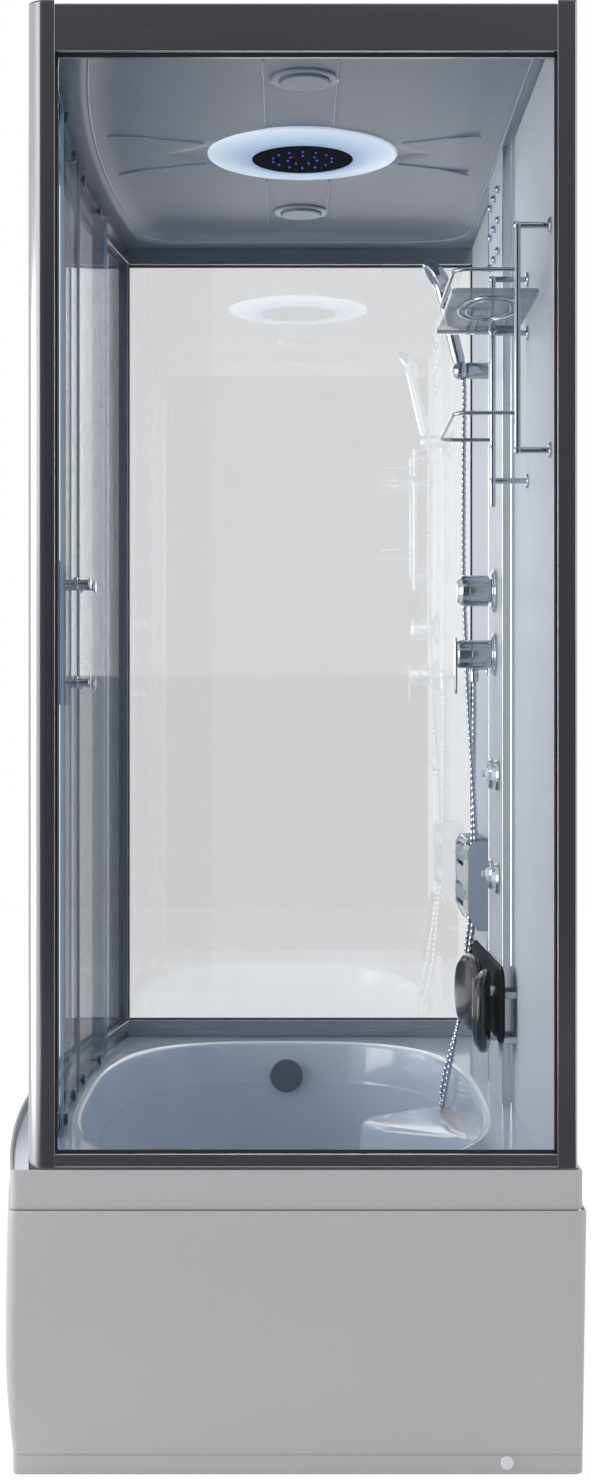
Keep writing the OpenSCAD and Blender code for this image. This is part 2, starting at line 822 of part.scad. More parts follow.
// Trap cup under the waste, its outlet to the wall, and the overflow pipe up the basin's end
module waste_trap() {
  cup_top = floor_z - tub_t - trap_top;
  out_y = half_d - outlet_end;
  up_z = overflow_z;
  stub_x = overflow_x - overflow_flange_t;
  color("whitesmoke") difference() {
    union() {
      translate([drain_x, drain_y, trap_foot_z])
        cylinder(r = trap_r, h = cup_top - trap_foot_z, $fn = round_fn);
      rod([drain_x, drain_y, outlet_z], [drain_x, out_y, outlet_z], pipe_r);
      rod([drain_x, out_y - spigot_l, outlet_z], [drain_x, out_y, outlet_z], spigot_r);
      rod([overflow_pipe_x, overflow_y, overflow_pipe_z], [drain_x, overflow_y, overflow_pipe_z],
          overflow_pipe_r);
      rod([overflow_pipe_x, overflow_y, overflow_pipe_z], [overflow_pipe_x, overflow_y, up_z],
          overflow_pipe_r);
      for (z = [overflow_pipe_z, up_z])
        translate([overflow_pipe_x, overflow_y, z]) sphere(r = overflow_pipe_r, $fn = round_fn);
      rod([overflow_pipe_x, overflow_y, up_z], [overflow_x, overflow_y, up_z], overflow_r - gap);
      rod([overflow_x, overflow_y, up_z], [overflow_x + overflow_flange_t, overflow_y, up_z],
          overflow_flange_r);
    }
    translate([drain_x, drain_y, trap_foot_z + trap_wall])
      cylinder(r = trap_r - trap_wall, h = cup_top - trap_foot_z - 2 * trap_wall, $fn = round_fn);
    translate([drain_x, drain_y, outlet_z])
      cylinder(r = drain_r, h = floor_z - outlet_z, $fn = round_fn);
    rod([drain_x, drain_y + trap_r / 2, outlet_z], [drain_x, out_y + cut, outlet_z], pipe_r - pipe_wall);
    rod([overflow_pipe_x, overflow_y, overflow_pipe_z],
        [drain_x - trap_r / 2, overflow_y, overflow_pipe_z], overflow_pipe_r - pipe_wall);
    rod([overflow_pipe_x, overflow_y, overflow_pipe_z], [overflow_pipe_x, overflow_y, up_z],
        overflow_pipe_r - pipe_wall);
    for (z = [overflow_pipe_z, up_z])
      translate([overflow_pipe_x, overflow_y, z]) sphere(r = overflow_pipe_r - pipe_wall, $fn = round_fn);
    rod([overflow_x - knob_spindle_l, overflow_y, up_z], [overflow_x + tube, overflow_y, up_z],
        knob_spindle_r + run_gap);
  }
}

// Turning disc on the overflow that lifts the plug
module overflow_knob() {
  face_x = overflow_x + overflow_flange_t + gap;
  color("slategray") {
    rod([overflow_x - knob_spindle_l + cut, overflow_y, overflow_z], [face_x + cut, overflow_y, overflow_z],
        knob_spindle_r);
    translate([face_x, overflow_y, overflow_z]) rotate([0, 90, 0])
      rotate_extrude($fn = round_fn) polygon([
        [0, 0], [knob_disc_r - drain_wall, 0], [knob_disc_r, drain_wall],
        [knob_disc_r, knob_disc_t - cut], [knob_disc_r - cut, knob_disc_t], [0, knob_disc_t]]);
  }
}

// Bowed rails: the doors hang and slide in a channel, the fixed panes stand in a groove
module front_bottom_rail() {
  x = post_in_x - gap;
  color("dimgray") difference() {
    bow_bar(rail_in, rail_outer, deck_z, sill_top, -x, x);
    bow_bar(rail_in - cut, rail_in + channel_d, leaf_z0 - cut, leaf_z0 - cut + channel_low_h,
            -x - cut, x + cut);
    bow_bar(fixed_r - glass_t / 2 - gap, fixed_r + glass_t / 2 + gap, sill_top - groove_d,
            sill_top + cut, -x - cut, x + cut);
  }
}

module front_top_rail() {
  x = post_in_x - gap;
  track_z = roller_z - roller_r - gap;
  room_z = track_z + channel_top_h;
  color("dimgray") difference() {
    bow_bar(rail_in, rail_outer, beam_low, beam_top, -x, x);
    bow_bar(rail_in - cut, rail_in + channel_d, track_z, room_z, -x - cut, x + cut);
    bow_bar(fixed_r - glass_t / 2 - gap, fixed_r + glass_t / 2 + gap, beam_low - cut,
            beam_low + groove_d, -x - cut, x + cut);
    bow_bar(rail_in + rail_wall, rail_outer - rail_wall, room_z + rail_wall, beam_top - rail_wall,
            -x - cut, x + cut);
  }
}

// Plan of a post on the right: rectangle whose outer corner toward +X or -Y is rounded
module post_plan(y0, y1, front) {
  x0 = post_in_x;
  x1 = end_x + post_w / 2;
  r = front ? post_corner_r : lip_round;
  n = corner_pts;
  polygon(concat([[x0, y1], [x0, y0]], arc_pts([x1 - r, y0 + r], r, -90, 0, n), [[x1, y1]]));
}

module post(y0, y1, front) {
  slot = glass_t / 2 + gap;
  slot_y = front ? y1 : y0;
  deep = post_groove_d;
  wall = post_wall;
  room = front ? [y0 + wall, y1 - deep - wall] : [y0 + deep + wall, y1 - wall];
  difference() {
    translate([0, 0, deck_z]) linear_extrude(cabin_h - deck_z) post_plan(y0, y1, front);
    box([end_x - slot, slot_y - deep, deck_z - cut], [end_x + slot, slot_y + deep, beam_top]);
    box([post_in_x + wall, room[0], deck_z - cut],
        [end_x + post_w / 2 - (front ? post_corner_r / 2 : wall), room[1], cabin_h - post_cap]);
  }
}

module corner_posts() {
  color("gray") mirrored() {
    post(front_post_y - front_post_d, front_post_y, true);
    post(wall_y, wall_y + rear_post_d, false);
  }
}

module end_beams() {
  slot = glass_t / 2 + gap;
  y0 = front_post_y + gap;
  y1 = wall_y - gap;
  x0 = post_in_x;
  x1 = end_x + post_w / 2 - cut;
  color("dimgray") mirrored() difference() {
    box([x0, y0, beam_low], [x1, y1, beam_top]);
    box([end_x - slot, y0 - cut, beam_low - cut], [end_x + slot, y1 + cut, beam_low + groove_d]);
    box([x0 + rail_wall, y0 - cut, beam_low + groove_d + rail_wall],
        [x1 - rail_wall, y1 + cut, beam_top - rail_wall]);
  }
}

module end_sills() {
  slot = glass_t / 2 + gap;
  y0 = front_post_y + gap;
  y1 = wall_y - gap;
  x0 = post_in_x;
  x1 = end_x + post_w / 2 - cut;
  base = deck_z + sill_base_h;
  color("darkgray") mirrored() difference() {
    union() {
      box([x0, y0, deck_z], [x1, y1, base]);
      box([x0 + sill_step, y0, base - cut], [x1 - sill_step, y1, sill_top]);
    }
    box([end_x - slot, y0 - cut, sill_top - groove_d], [end_x + slot, y1 + cut, sill_top + cut]);
    box([x0 + rail_wall, y0 - cut, deck_z + rail_wall], [x1 - rail_wall, y1 + cut, base - rail_wall]);
  }
}

module end_glasses() {
  color("lightblue", 0.3) mirrored()
    box([end_x - glass_t / 2, front_post_y - glass_in_post, sill_top - groove_d],
        [end_x + glass_t / 2, wall_y + glass_in_post, beam_low + groove_d - gap]);
}

module fixed_glasses() {
  color("lightblue", 0.3) mirrored()
    bow_bar(fixed_r - glass_t / 2, fixed_r + glass_t / 2, sill_top - groove_d,
            beam_low + groove_d - gap, door_l - door_overlap, post_in_x - gap);
}

// Wall panels on both sides of the column, the left one drilled for the hose outlet
module back_panels() {
  x = post_in_x - gap;
  color("white") difference() {
    union() {
      box([-x, wall_y, deck_z], [column_x0 - gap, wall_y + panel_t, roof_rim_z]);
      box([column_x1 + gap, wall_y, deck_z], [x, wall_y + panel_t, roof_rim_z]);
    }
    from_wall(outlet_x, wall_y + panel_t + cut, outlet_top_z)
      cylinder(r = outlet_r + gap, h = panel_t + 2 * cut, $fn = round_fn);
  }
}

module column_panel() {
  color("whitesmoke") difference() {
    box([column_x0 + trim_w + gap, column_y, deck_z],
        [column_x1 - trim_w - gap, column_y + column_t, column_top]);
    column_holes();
  }
}

// Holes through the column for the two spindles, the body jets and the small nozzles
module column_holes() {
  h = column_t + 2 * cut;
  for (z = [knob_z, mixer_z]) from_wall(column_x, column_y + column_t + cut, z)
    cylinder(r = shaft_hole_r, h = h, $fn = round_fn);
  for (p = jet_places) from_wall(p[0], column_y + column_t + cut, p[1])
    cylinder(r = jet_hole_r, h = h, $fn = round_fn);
  nozzle_places() from_wall(0, column_y + column_t + cut, 0)
    cylinder(r = nozzle_stem_r + gap, h = h, $fn = fine_fn);
}

module nozzle_places() {
  for (k = [0 : nozzle_rows - 1], s = [-1, 0, 1])
    translate([column_x + s * nozzle_pitch_x, 0, nozzle_top_z - k * nozzle_pitch_z]) children();
}

module column_trims() {
  color("silver") for (x = [column_x0, column_x1 - trim_w]) difference() {
    box([x, column_y - trim_proud, deck_z], [x + trim_w, wall_y + panel_t, column_top]);
    box([x + lip_round, column_y + column_t, deck_z - cut],
        [x + trim_w - lip_round, wall_y + panel_t - lip_round, column_top + cut]);
  }
}

// Moulded roof: a flat rim that rises to a flat middle, drilled for the feed and the riser
module roof_shell() {
  hl = post_in_x - gap;
  rf = rail_in - gap;
  rim = outline(hl, rf, roof_rear, rail_wall);
  dish = [for (s = roof_steps)
    at_z(outline(hl - s[0], rf - s[0], roof_rear - s[0], roof_corner_r), roof_rim_z + s[1] * roof_rise)];
  under = concat([for (k = [len(dish) - 1 : -1 : 0]) dish[k]], [at_z(rim, roof_rim_z)]);
  above = concat([at_z(rim, roof_rim_z + roof_t)], [for (d = dish) [for (p = d) p + [0, 0, roof_t]]]);
  color("lightsteelblue") difference() {
    loft(concat(under, above));
    translate([0, ceiling_y, ceiling_z - cut])
      cylinder(r = feed_r + gap, h = roof_t + 2 * cut, $fn = round_fn);
    translate([column_x + riser_x, valve_cy, roof_rim_z - cut])
      cylinder(r = riser_r + gap, h = roof_t + roof_rise, $fn = round_fn);
  }
}

module ceiling_lamps() {
  color("slategray") mirrored() translate([lamp_x, ceiling_y, ceiling_z - gap]) mirror([0, 0, 1]) {
    cylinder(r = lamp_r, h = lamp_t, $fn = round_fn);
    cylinder(r = lamp_lens_r, h = lamp_t + lamp_lens_t, $fn = round_fn);
  }
}

// Rain head: water box with its feed, lit ring, and spray plate with rings of holes
module rain_head() {
  color("gray") translate([0, ceiling_y, ceiling_z - gap]) difference() {
    union() {
      cylinder_at(-head_body_t, spray_r - gap, head_body_t);
      cylinder_at(-cut, feed_r, feed_up);
    }
    cylinder_at(-head_body_t - cut, feed_bore_r, head_body_t + feed_up);
  }
}

module led_ring() {
  color("white") translate([0, ceiling_y, ceiling_z - gap]) rotate_extrude($fn = round_fn) polygon([
    [spray_r, 0], [ring_r, 0], [ring_r, -ring_edge_t], [spray_r, -head_face_drop]]);
}

module spray_plate() {
  color("darkslategray") translate([0, ceiling_y, ceiling_z - gap - head_body_t - spray_t])
    difference() {
      cylinder(r = spray_r - gap, h = spray_t, $fn = round_fn);
      for (k = [1 : spray_rings], j = [0 : spray_per_ring * k - 1])
        rotate([0, 0, 360 * j / (spray_per_ring * k)]) translate([spray_ring_step * k, 0, -cut])
          cylinder(r = spray_hole_r, h = spray_t + 2 * cut, $fn = fine_fn);
    }
}

module column_nozzles() {
  tail = valve_cy - branch_r - gap - column_y;
  color("silver") nozzle_places() from_wall(0, column_y, 0) difference() {
    union() {
      cylinder_at(-tail, nozzle_stem_r, tail + nozzle_stem_r);
      rotate_extrude($fn = fine_fn) polygon([
        [0, 0], [nozzle_r, 0], [nozzle_r, nozzle_out / 2], [nozzle_r / 2, nozzle_out], [0, nozzle_out]]);
    }
    cylinder_at(-tail - cut, nozzle_orifice_r, tail + tube);
  }
}

// Valve block behind the column with its two spindles, the supply nipples and the pipework
module valve_and_pipes() {
  z0 = mixer_z - valve_over;
  z1 = knob_z + valve_over;
  ends = supply_pitch / 2;
  supply_z = mixer_z + valve_over / 2 + supply_r;
  supply_y = half_d - supply_end;
  top_z = beam_top - riser_r - gap;
  joint_r = riser_r + gap;
  xr = column_x + riser_x;
  y = valve_cy;
  color("goldenrod") difference() {
    union() {
      box([column_x - valve_w / 2, valve_y, z0], [column_x + valve_w / 2, valve_y + valve_d, z1]);
      rod([column_x, y, knob_z], [column_x, column_y - shaft_out, knob_z], shaft_r);
      rod([column_x, y, mixer_z], [column_x, mixer_front_y - lever_hub_l / 2, mixer_z], shaft_r);
      rod([column_x - ends, y, supply_z], [column_x + ends, y, supply_z], riser_r);
      for (x = [column_x - ends, column_x + ends]) {
        translate([x, y, supply_z]) sphere(r = joint_r, $fn = round_fn);
        rod([x, y, supply_z], [x, supply_y, supply_z], riser_r);
        rod([x, supply_y - supply_l, supply_z], [x, supply_y, supply_z], supply_r);
      }
      rod([column_x, y, outlet_top_z], [outlet_x - riser_r, y, outlet_top_z], branch_r);
      rod([column_x, y, knob_z], [xr, y, knob_z], branch_r);
      rod([xr, y, knob_z - riser_r], [xr, y, top_z], riser_r);
      translate([xr, y, top_z]) sphere(r = joint_r, $fn = round_fn);
      rod([xr, y, top_z], [0, ceiling_y, top_z], branch_r);
      translate([0, ceiling_y, top_z]) sphere(r = joint_r, $fn = round_fn);
      rod([column_x, y, z0 + cut], [column_x, y, jet_top_z - jet_pitch_z - riser_r], riser_r);
      for (k = [0, 2])
        rod([jet_places[k][0] - riser_r, y, jet_places[k][1]],
            [jet_places[k + 1][0] + riser_r, y, jet_places[k][1]], branch_r);
      for (k = [0 : nozzle_rows - 1]) let (z = nozzle_top_z - k * nozzle_pitch_z)
        rod([column_x - nozzle_pitch_x - nozzle_r, y, z], [column_x + nozzle_pitch_x + nozzle_r, y, z],
            branch_r);
    }
    for (x = [column_x - ends, column_x + ends])
      rod([x, supply_y - supply_l, supply_z], [x, supply_y + cut, supply_z], supply_bore_r);
  }
}

module escutcheons() {
  color("silver") for (z = [knob_z, mixer_z]) from_wall(column_x, column_y, z)
    rotate_extrude($fn = round_fn) polygon([
      [shaft_hole_r, 0], [escutcheon_r, 0], [escutcheon_r, escutcheon_t - lip_round],
      [escutcheon_r - lip_round, escutcheon_t], [escutcheon_step_r, escutcheon_t],
      [escutcheon_step_r, escutcheon_t + escutcheon_step_t],
      [shaft_hole_r, escutcheon_t + escutcheon_step_t]]);
}

// Rounded knob on the upper spindle
module temperature_knob() {
  color("silver") from_wall(column_x, escutcheon_y - gap, knob_z) difference() {
    rotate_extrude($fn = round_fn) polygon(concat(
      [[0, 0], [knob_collar_r, 0], [knob_collar_r, knob_collar_l], [knob_r, knob_collar_l]],
      arc_pts([knob_r - knob_round, knob_l - knob_round], knob_round, 0, 90, 2 * corner_pts),
      [[0, knob_l]]));
    cylinder_at(-cut, shaft_r + run_gap, shaft_out);
  }
}

module mixer_body() {
  color("silver") from_wall(column_x, escutcheon_y, mixer_z) difference() {
    cylinder(r = mixer_r, h = mixer_l, $fn = round_fn);
    cylinder_at(-cut, shaft_hole_r, mixer_l + 2 * cut);
  }
}

// Lever: a hub on the lower spindle with a flat plate across its end
module mixer_lever() {
  up = lever_l * lever_up_share;
  color("silver") from_wall(column_x, mixer_front_y - gap, mixer_z) difference() {
    union() {
      cylinder(r = mixer_r, h = lever_hub_l, $fn = round_fn);
      translate([-lever_w / 2, up - lever_l + lever_w / 2, lever_hub_l - cut])
        cube([lever_w, lever_l - lever_w, lever_t + cut]);
      for (y = [up - lever_w / 2, up - lever_l + lever_w / 2])
        translate([0, y, lever_hub_l - cut]) cylinder(r = lever_w / 2, h = lever_t + cut, $fn = round_fn);
    }
    cylinder_at(-cut, shaft_r + run_gap, lever_hub_l / 2 + gap + 2 * cut);
  }
}

// Wall outlet for the hose: flange, elbow and nut
module hose_outlet() {
  nut_z = outlet_top_z - outlet_r;
  color("silver") difference() {
    union() {
      from_wall(outlet_x, wall_y, outlet_top_z) cylinder_at(gap, 2 * outlet_r - lip_w, lip_w);
      from_wall(outlet_x, valve_cy - branch_r - gap, outlet_top_z)
        cylinder(r = outlet_r - lip_round, h = valve_cy - branch_r - gap - outlet_y, $fn = round_fn);
      translate([outlet_x, outlet_y, outlet_top_z]) sphere(r = outlet_r, $fn = round_fn);
      rod([outlet_x, outlet_y, outlet_top_z], [outlet_x, outlet_y, nut_z - outlet_nut_l], outlet_nut_r);
    }
    rod([outlet_x, outlet_y, outlet_top_z], [outlet_x, outlet_y, nut_z - outlet_nut_l - cut],
        hose_r * hose_bore_share);
  }
}

// Rings of the body jets, each with a socket behind the column
module jet_rings() {
  back = jet_bore_r + jet_lip;
  tail = valve_cy - branch_r - gap - column_y;
  color("silver") for (p = jet_places) from_wall(p[0], column_y, p[1]) difference() {
    union() {
      rotate_extrude($fn = round_fn) polygon([
        [0, 0], [jet_r, 0], [jet_r, jet_ring_out / 2], [jet_r - lip_round, jet_ring_out],
        [0, jet_ring_out]]);
      cylinder_at(-back, jet_hole_r - gap, back);
      cylinder_at(-tail, jet_nose_r, tail - back + cut);
    }
    cylinder_at(-back + jet_lip, jet_bore_r + gap, back + jet_ring_out);
    cylinder_at(-tail - cut, jet_spray_r, tail);
  }
}

// Swivelling ball of a body jet
module jet_nozzle(k) {
  p = jet_places[k];
  color("lightgray") from_wall(p[0], jet_y, p[1]) difference() {
    union() {
      sphere(r = jet_bore_r, $fn = round_fn);
      cylinder(r = jet_nose_r, h = jet_bore_r + jet_nose_l, $fn = round_fn);
    }
    cylinder(r = jet_spray_r, h = jet_bore_r + jet_nose_l + cut, $fn = round_fn);
  }
}

// Shelf rack: two bars on wall brackets, and a wire rail around each level
module shelf_rack() {
  near = [bar_near_x, bar_near_y];
  far = [bar_far_x, bar_far_y];
  module bar(p, spans) {
    rod([p[0], p[1], shelf_z + spans[0]], [p[0], p[1], shelf_z + spans[1]], bar_r, fine_fn);
  }
  module bracket(p, z) {
    rod([p[0], p[1], z], [p[0], wall_y - gap, z], bracket_r, fine_fn);
    rod([p[0], wall_y - gap - bracket_flange_t, z], [p[0], wall_y - gap, z], bracket_flange_r, fine_fn);
    translate([p[0], p[1], z]) sphere(r = bracket_r + cut, $fn = fine_fn);
  }
  module wire(z) {
    front = shelf_front_y;
    bend = wire_bend;
    rod([near[0], near[1], z], [near[0], front + bend, z], wire_r, fine_fn);
    rod([near[0] - bend, front, z], [far[0] + bend, front, z], wire_r, fine_fn);
    rod([far[0], front + bend, z], [far[0], far[1], z], wire_r, fine_fn);
    translate([near[0] - bend, front + bend, z]) rotate([0, 0, -90])
      rotate_extrude(angle = 90, $fn = round_fn) translate([bend, 0]) circle(r = wire_r, $fn = fine_fn);
    translate([far[0] + bend, front + bend, z]) rotate([0, 0, 180])
      rotate_extrude(angle = 90, $fn = round_fn) translate([bend, 0]) circle(r = wire_r, $fn = fine_fn);
  }
  color("silver") {
    bar(near, bar_near_spans);
    bar(far, bar_far_spans);
    for (z = bracket_near_rises) bracket(near, shelf_z + z);
    for (z = bracket_far_rises) bracket(far, shelf_z + z);
    for (z = wire_rises) wire(shelf_z + z);
    rod([far[0], far[1], shelf_z - shelf_t - gap - collar_t], [far[0], far[1], shelf_z - shelf_t - gap],
        collar_r, fine_fn);
    rod([near[0], near[1], shelf_z - shelf_t - gap - bracket_r],
        [near[0] - 2 * bracket_flange_r, near[1], shelf_z - shelf_t - gap - bracket_r],
        bracket_r, fine_fn);
  }
}

// Clear shelf plate with rounded corners, notched around the far bar
module shelf_plate() {
  x0 = bar_far_x - shelf_far_over;
  x1 = bar_near_x - shelf_side;
  y0 = shelf_front_y - shelf_front_over;
  y1 = wall_y - shelf_back;
  c = shelf_corner;
  corners = [[x1 - c, y0 + c, -90], [x1 - c, y1 - c, 0], [x0 + c, y1 - c, 90], [x0 + c, y0 + c, 180]];
  color("lightblue", 0.4) difference() {
    translate([0, 0, shelf_z - shelf_t]) linear_extrude(shelf_t)
      polygon([for (k = corners) each arc_pts([k[0], k[1]], c, k[2], k[2] + 90, corner_pts)]);
    rod([bar_far_x, bar_far_y, shelf_z - 2 * shelf_t], [bar_far_x, bar_far_y, shelf_z + shelf_t],
        bar_r + gap, fine_fn);
  }
}

// Massager housing: chamfered box, roller windows in front, a channel for the hose behind
module massager_housing() {
  w = massager_wall;
  z1 = massager_z + massager_h;
  y1 = wall_y - gap;
  c = massager_chamfer;
  color("lightslategray") difference() {
    translate([massager_x0, 0, 0]) rotate([90, 0, 90]) linear_extrude(massager_l) polygon([
      [y1, massager_z], [y1, z1], [massager_y0 + c / 2, z1], [massager_y0, z1 - c],
      [massager_y0, massager_z + 2 * c], [massager_y0 + c, massager_z]]);
    box([massager_x0 + w, massager_y0 + w, massager_z + 2 * c], [channel_x0 - w, y1 - w, z1 - c]);
    box([massager_x0 + w, massage_y - cut, z1 - c - cut], [channel_x0 - w, y1 - w, z1 - w]);
    for (z = massage_zs()) {
      box([massage_x[0] - cut, massager_y0 - cut, z - massage_r - 2 * cut],
          [massage_x[1] + cut, massage_y, z + massage_r + 2 * cut]);
      rod([massager_x0 + w / 2, massage_y, z], [channel_x0 - w / 2, massage_y, z],
          massage_shaft_r + run_gap);
    }
    box([channel_x0, massager_y0 + channel_front, massager_z - cut], [channel_x1, y1 + cut, z1 + cut]);
  }
}

function massage_zs() = [for (s = massage_z_shares) massager_z + s * massager_h];

// Beaded massage roller on its shaft
module massage_roller(z) {
  l = massage_x[1] - massage_x[0];
  step = l / massage_beads;
  n = 8;
  color("slategray") translate([massage_x[0], massage_y, z]) rotate([0, 90, 0]) {
    rotate_extrude($fn = round_fn) polygon(concat([[0, 0]],
      [for (k = [0 : n * massage_beads])
        [massage_r - massage_neck * pow(cos(180 * k / n), 2), l * k / (n * massage_beads)]],
      [[0, l]]));
    cylinder_at(massager_x0 + massager_wall - massage_x[0] - massager_wall / 2 + gap, massage_shaft_r,
                channel_x0 - massager_x0 - massager_wall - 2 * gap);
  }
}

// Back plate with spacers for the two pads and studs to the wall
module backrest_base() {
  r = (base_high_z - base_low_z) / 4;
  y1 = column_y - trim_proud - gap;
  c = [[base_xs[1] - r, base_low_z + r, -90], [base_xs[1] - r, base_high_z - r, 0],
       [base_xs[0] + r, base_high_z - r, 90], [base_xs[0] + r, base_low_z + r, 180]];
  color("black") translate([0, y1, 0]) rotate([90, 0, 0]) linear_extrude(y1 - base_front_y)
    polygon([for (k = c) each arc_pts([k[0], k[1]], r, k[2], k[2] + 90, 2 * corner_pts)]);
  color("silver") for (x = pad_xs, s = [-1, 1])
    rod([x, base_front_y + cut, pad_z + s * spacer_pitch / 2],
        [x, pad_back_y + gap + spacer_r * sin(pad_tilt), pad_z + s * spacer_pitch / 2], spacer_r);
  color("silver") for (x = [base_xs[0] + 2 * stand_r, base_xs[1] - 2 * stand_r], s = [-1, 1])
    rod([x, y1 - cut, pad_z + s * spacer_pitch / 2],
        [x, wall_y - gap, pad_z + s * spacer_pitch / 2], stand_r);
}

// Back pad: oval cushion, drawn in at the rim, crowned in front and turned a little toward the other pad
module back_pad(x) {
  rings = [for (s = pad_ring_shares) [for (k = [0 : pad_sides - 1])
    let (a = 360 * k / pad_sides,
         r = s[0] / pow(pow(abs(cos(a)), pad_round) + pow(abs(sin(a)), pad_round), 1 / pad_round))
    [r * cos(a) * pad_l / 2, -s[1] * pad_t, r * sin(a) * pad_h / 2]]];
  color([0.1, 0.1, 0.12]) translate([x, pad_back_y, pad_z]) rotate([0, 0, -sign(x) * pad_tilt]) loft(rings);
}

// Hand shower and its holder share a leaning axis through the ball
module on_hand() {
  translate([holder_x, holder_ball_y, holder_z]) rotate([hand_tilt, 0, 0]) children();
}

module handset_holder() {
  color("silver") difference() {
    union() {
      from_wall(holder_x, wall_y - gap, holder_z)
        cylinder(r = holder_r, h = wall_y - gap - holder_ball_y, $fn = round_fn);
      translate([holder_x, holder_ball_y, holder_z]) sphere(r = holder_ball_r, $fn = round_fn);
    }
    on_hand() {
      cylinder_at(-2 * holder_ball_r, holder_bore_r, 4 * holder_ball_r);
      cylinder_at(hand_nut_l / 2, 2 * holder_ball_r, holder_ball_r);
    }
  }
}

module handset() {
  l = hand_nut_l / 2;
  color("silver") on_hand() difference() {
    union() {
      cylinder_at(-l, hand_nut_r, 2 * l + 2 * gap);
      translate([0, 0, l + gap])
        cylinder(r1 = hand_shoulder_r, r2 = hand_grip_r, h = hand_nut_r, $fn = round_fn);
      translate([0, 0, l + hand_nut_r])
        cylinder(r1 = hand_grip_r, r2 = hand_neck_r, h = hand_grip_l, $fn = round_fn);
      translate([0, 0, l + hand_nut_r + hand_grip_l]) sphere(r = hand_neck_r, $fn = round_fn);
      translate([0, 0, head_z]) rotate([180 - head_tilt - hand_tilt, 0, 0]) {
        translate([0, 0, -head_t / 2])
          cylinder(r1 = head_r / 2, r2 = head_r, h = head_t / 2, $fn = round_fn);
        cylinder(r = head_r, h = head_t / 2, $fn = round_fn);
      }
    }
    cylinder_at(-l - cut, hose_r * hose_bore_share, hand_nut_l);
  }
}

// Shower hose: a smooth curve through the route, resampled evenly, with ribs and a bore
function catmull(a, b, c, d, t) =
  (2 * b + (c - a) * t + (2 * a - 5 * b + 4 * c - d) * t * t + (3 * b - a - 3 * c + d) * t * t * t) / 2;

module shower_hose() {
  n = len(hose_points);
  sub = 6;
  dense = concat([for (i = [0 : n - 2]) for (k = [0 : sub - 1])
    catmull(hose_points[max(i - 1, 0)], hose_points[i], hose_points[i + 1],
            hose_points[min(i + 2, n - 1)], k / sub)], [hose_points[n - 1]]);
  m = len(dense);
  run = [for (i = 0, s = 0; i < m; s = s + (i + 1 < m ? norm(dense[i + 1] - dense[i]) : 0), i = i + 1) s];
  l = run[m - 1];
  axes = [for (c = [0 : 2]) [for (i = [0 : m - 1]) [run[i], dense[i][c]]]];
  function at(s) = [for (c = [0 : 2]) lookup(s, axes[c])];
  function ring(s, r) =
    let (t = at(min(s + hose_r / 2, l)) - at(max(s - hose_r / 2, 0)),
         u = cross([0, 1, 0], t) / norm(cross([0, 1, 0], t)),
         v = cross(t, u) / norm(t))
    [for (k = [0 : hose_sides - 1]) let (a = 360 * k / hose_sides)
      at(s) + r * (cos(a) * u + sin(a) * v)];
  first = hose_straight;
  pitch = (l - 2 * first) / hose_ribs;
  ribs = [for (k = [0 : hose_ribs - 1])
    each [ring(first + pitch * (k + 0.25), hose_r),
          ring(first + pitch * (k + 0.8), hose_r * hose_valley_share)]];
  outer = concat([ring(0, hose_r * hose_valley_share), ring(first, hose_r * hose_valley_share)], ribs,
                 [ring(l, hose_r * hose_valley_share)]);
  bore_steps = 80;
  bore = [for (k = [bore_steps : -1 : 0]) ring(l * k / bore_steps, hose_r * hose_bore_share)];
  rings = concat(outer, bore);
  q = hose_sides;
  w = len(rings);
  echo(hose_length = l);
  color("silver") polyhedron(points = [for (r = rings) each r], convexity = 10,
    faces = [for (j = [0 : w - 1]) for (k = [0 : q - 1])
      let (a = j * q + k, b = j * q + (k + 1) % q,
           c = ((j + 1) % w) * q + k, d = ((j + 1) % w) * q + (k + 1) % q)
      each [[a, c, b], [b, c, d]]]);
}

// Place on the sliding glass: outward from the cabin is up
module on_slide(x, z) {
  translate([0, bow_cy, z]) rotate([0, 0, asin(x / slide_r)]) translate([0, -slide_r, 0])
    rotate([90, 0, 0]) children();
}

module flipped(side) {
  mirror([side < 0 ? 1 : 0, 0, 0]) children();
}

// Curved leaf, drilled for its hangers, guides and handle
module door_glass(side) {
  color("lightblue", 0.3) flipped(side) difference() {
    bow_bar(slide_r - glass_t / 2, slide_r + glass_t / 2, leaf_z0, leaf_z1, seal_in, door_l);
    for (x = [roller_in_x, roller_out_x], z = [roller_z, shoe_z]) on_slide(x, z)
      cylinder_at(-glass_t, axle_r + hole_slack, 2 * glass_t);
    for (s = [-1, 1]) on_slide(handle_x, handle_z + s * handle_span / 2)
      cylinder_at(-glass_t, axle_r + hole_slack, 2 * glass_t);
  }
}

// Magnetic seal clipped over the meeting edge
module door_seal(side) {
  color("darkslategray") flipped(side) difference() {
    bow_bar(slide_r - seal_t + cut, slide_r + seal_t - 2 * cut, leaf_z0, leaf_z1,
            seal_meet, seal_meet + seal_w);
    bow_bar(slide_r - glass_t / 2 - run_gap, slide_r + glass_t / 2 + run_gap, leaf_z0 - cut, leaf_z1 + cut,
            seal_in - run_gap, seal_meet + seal_w + cut);
  }
}

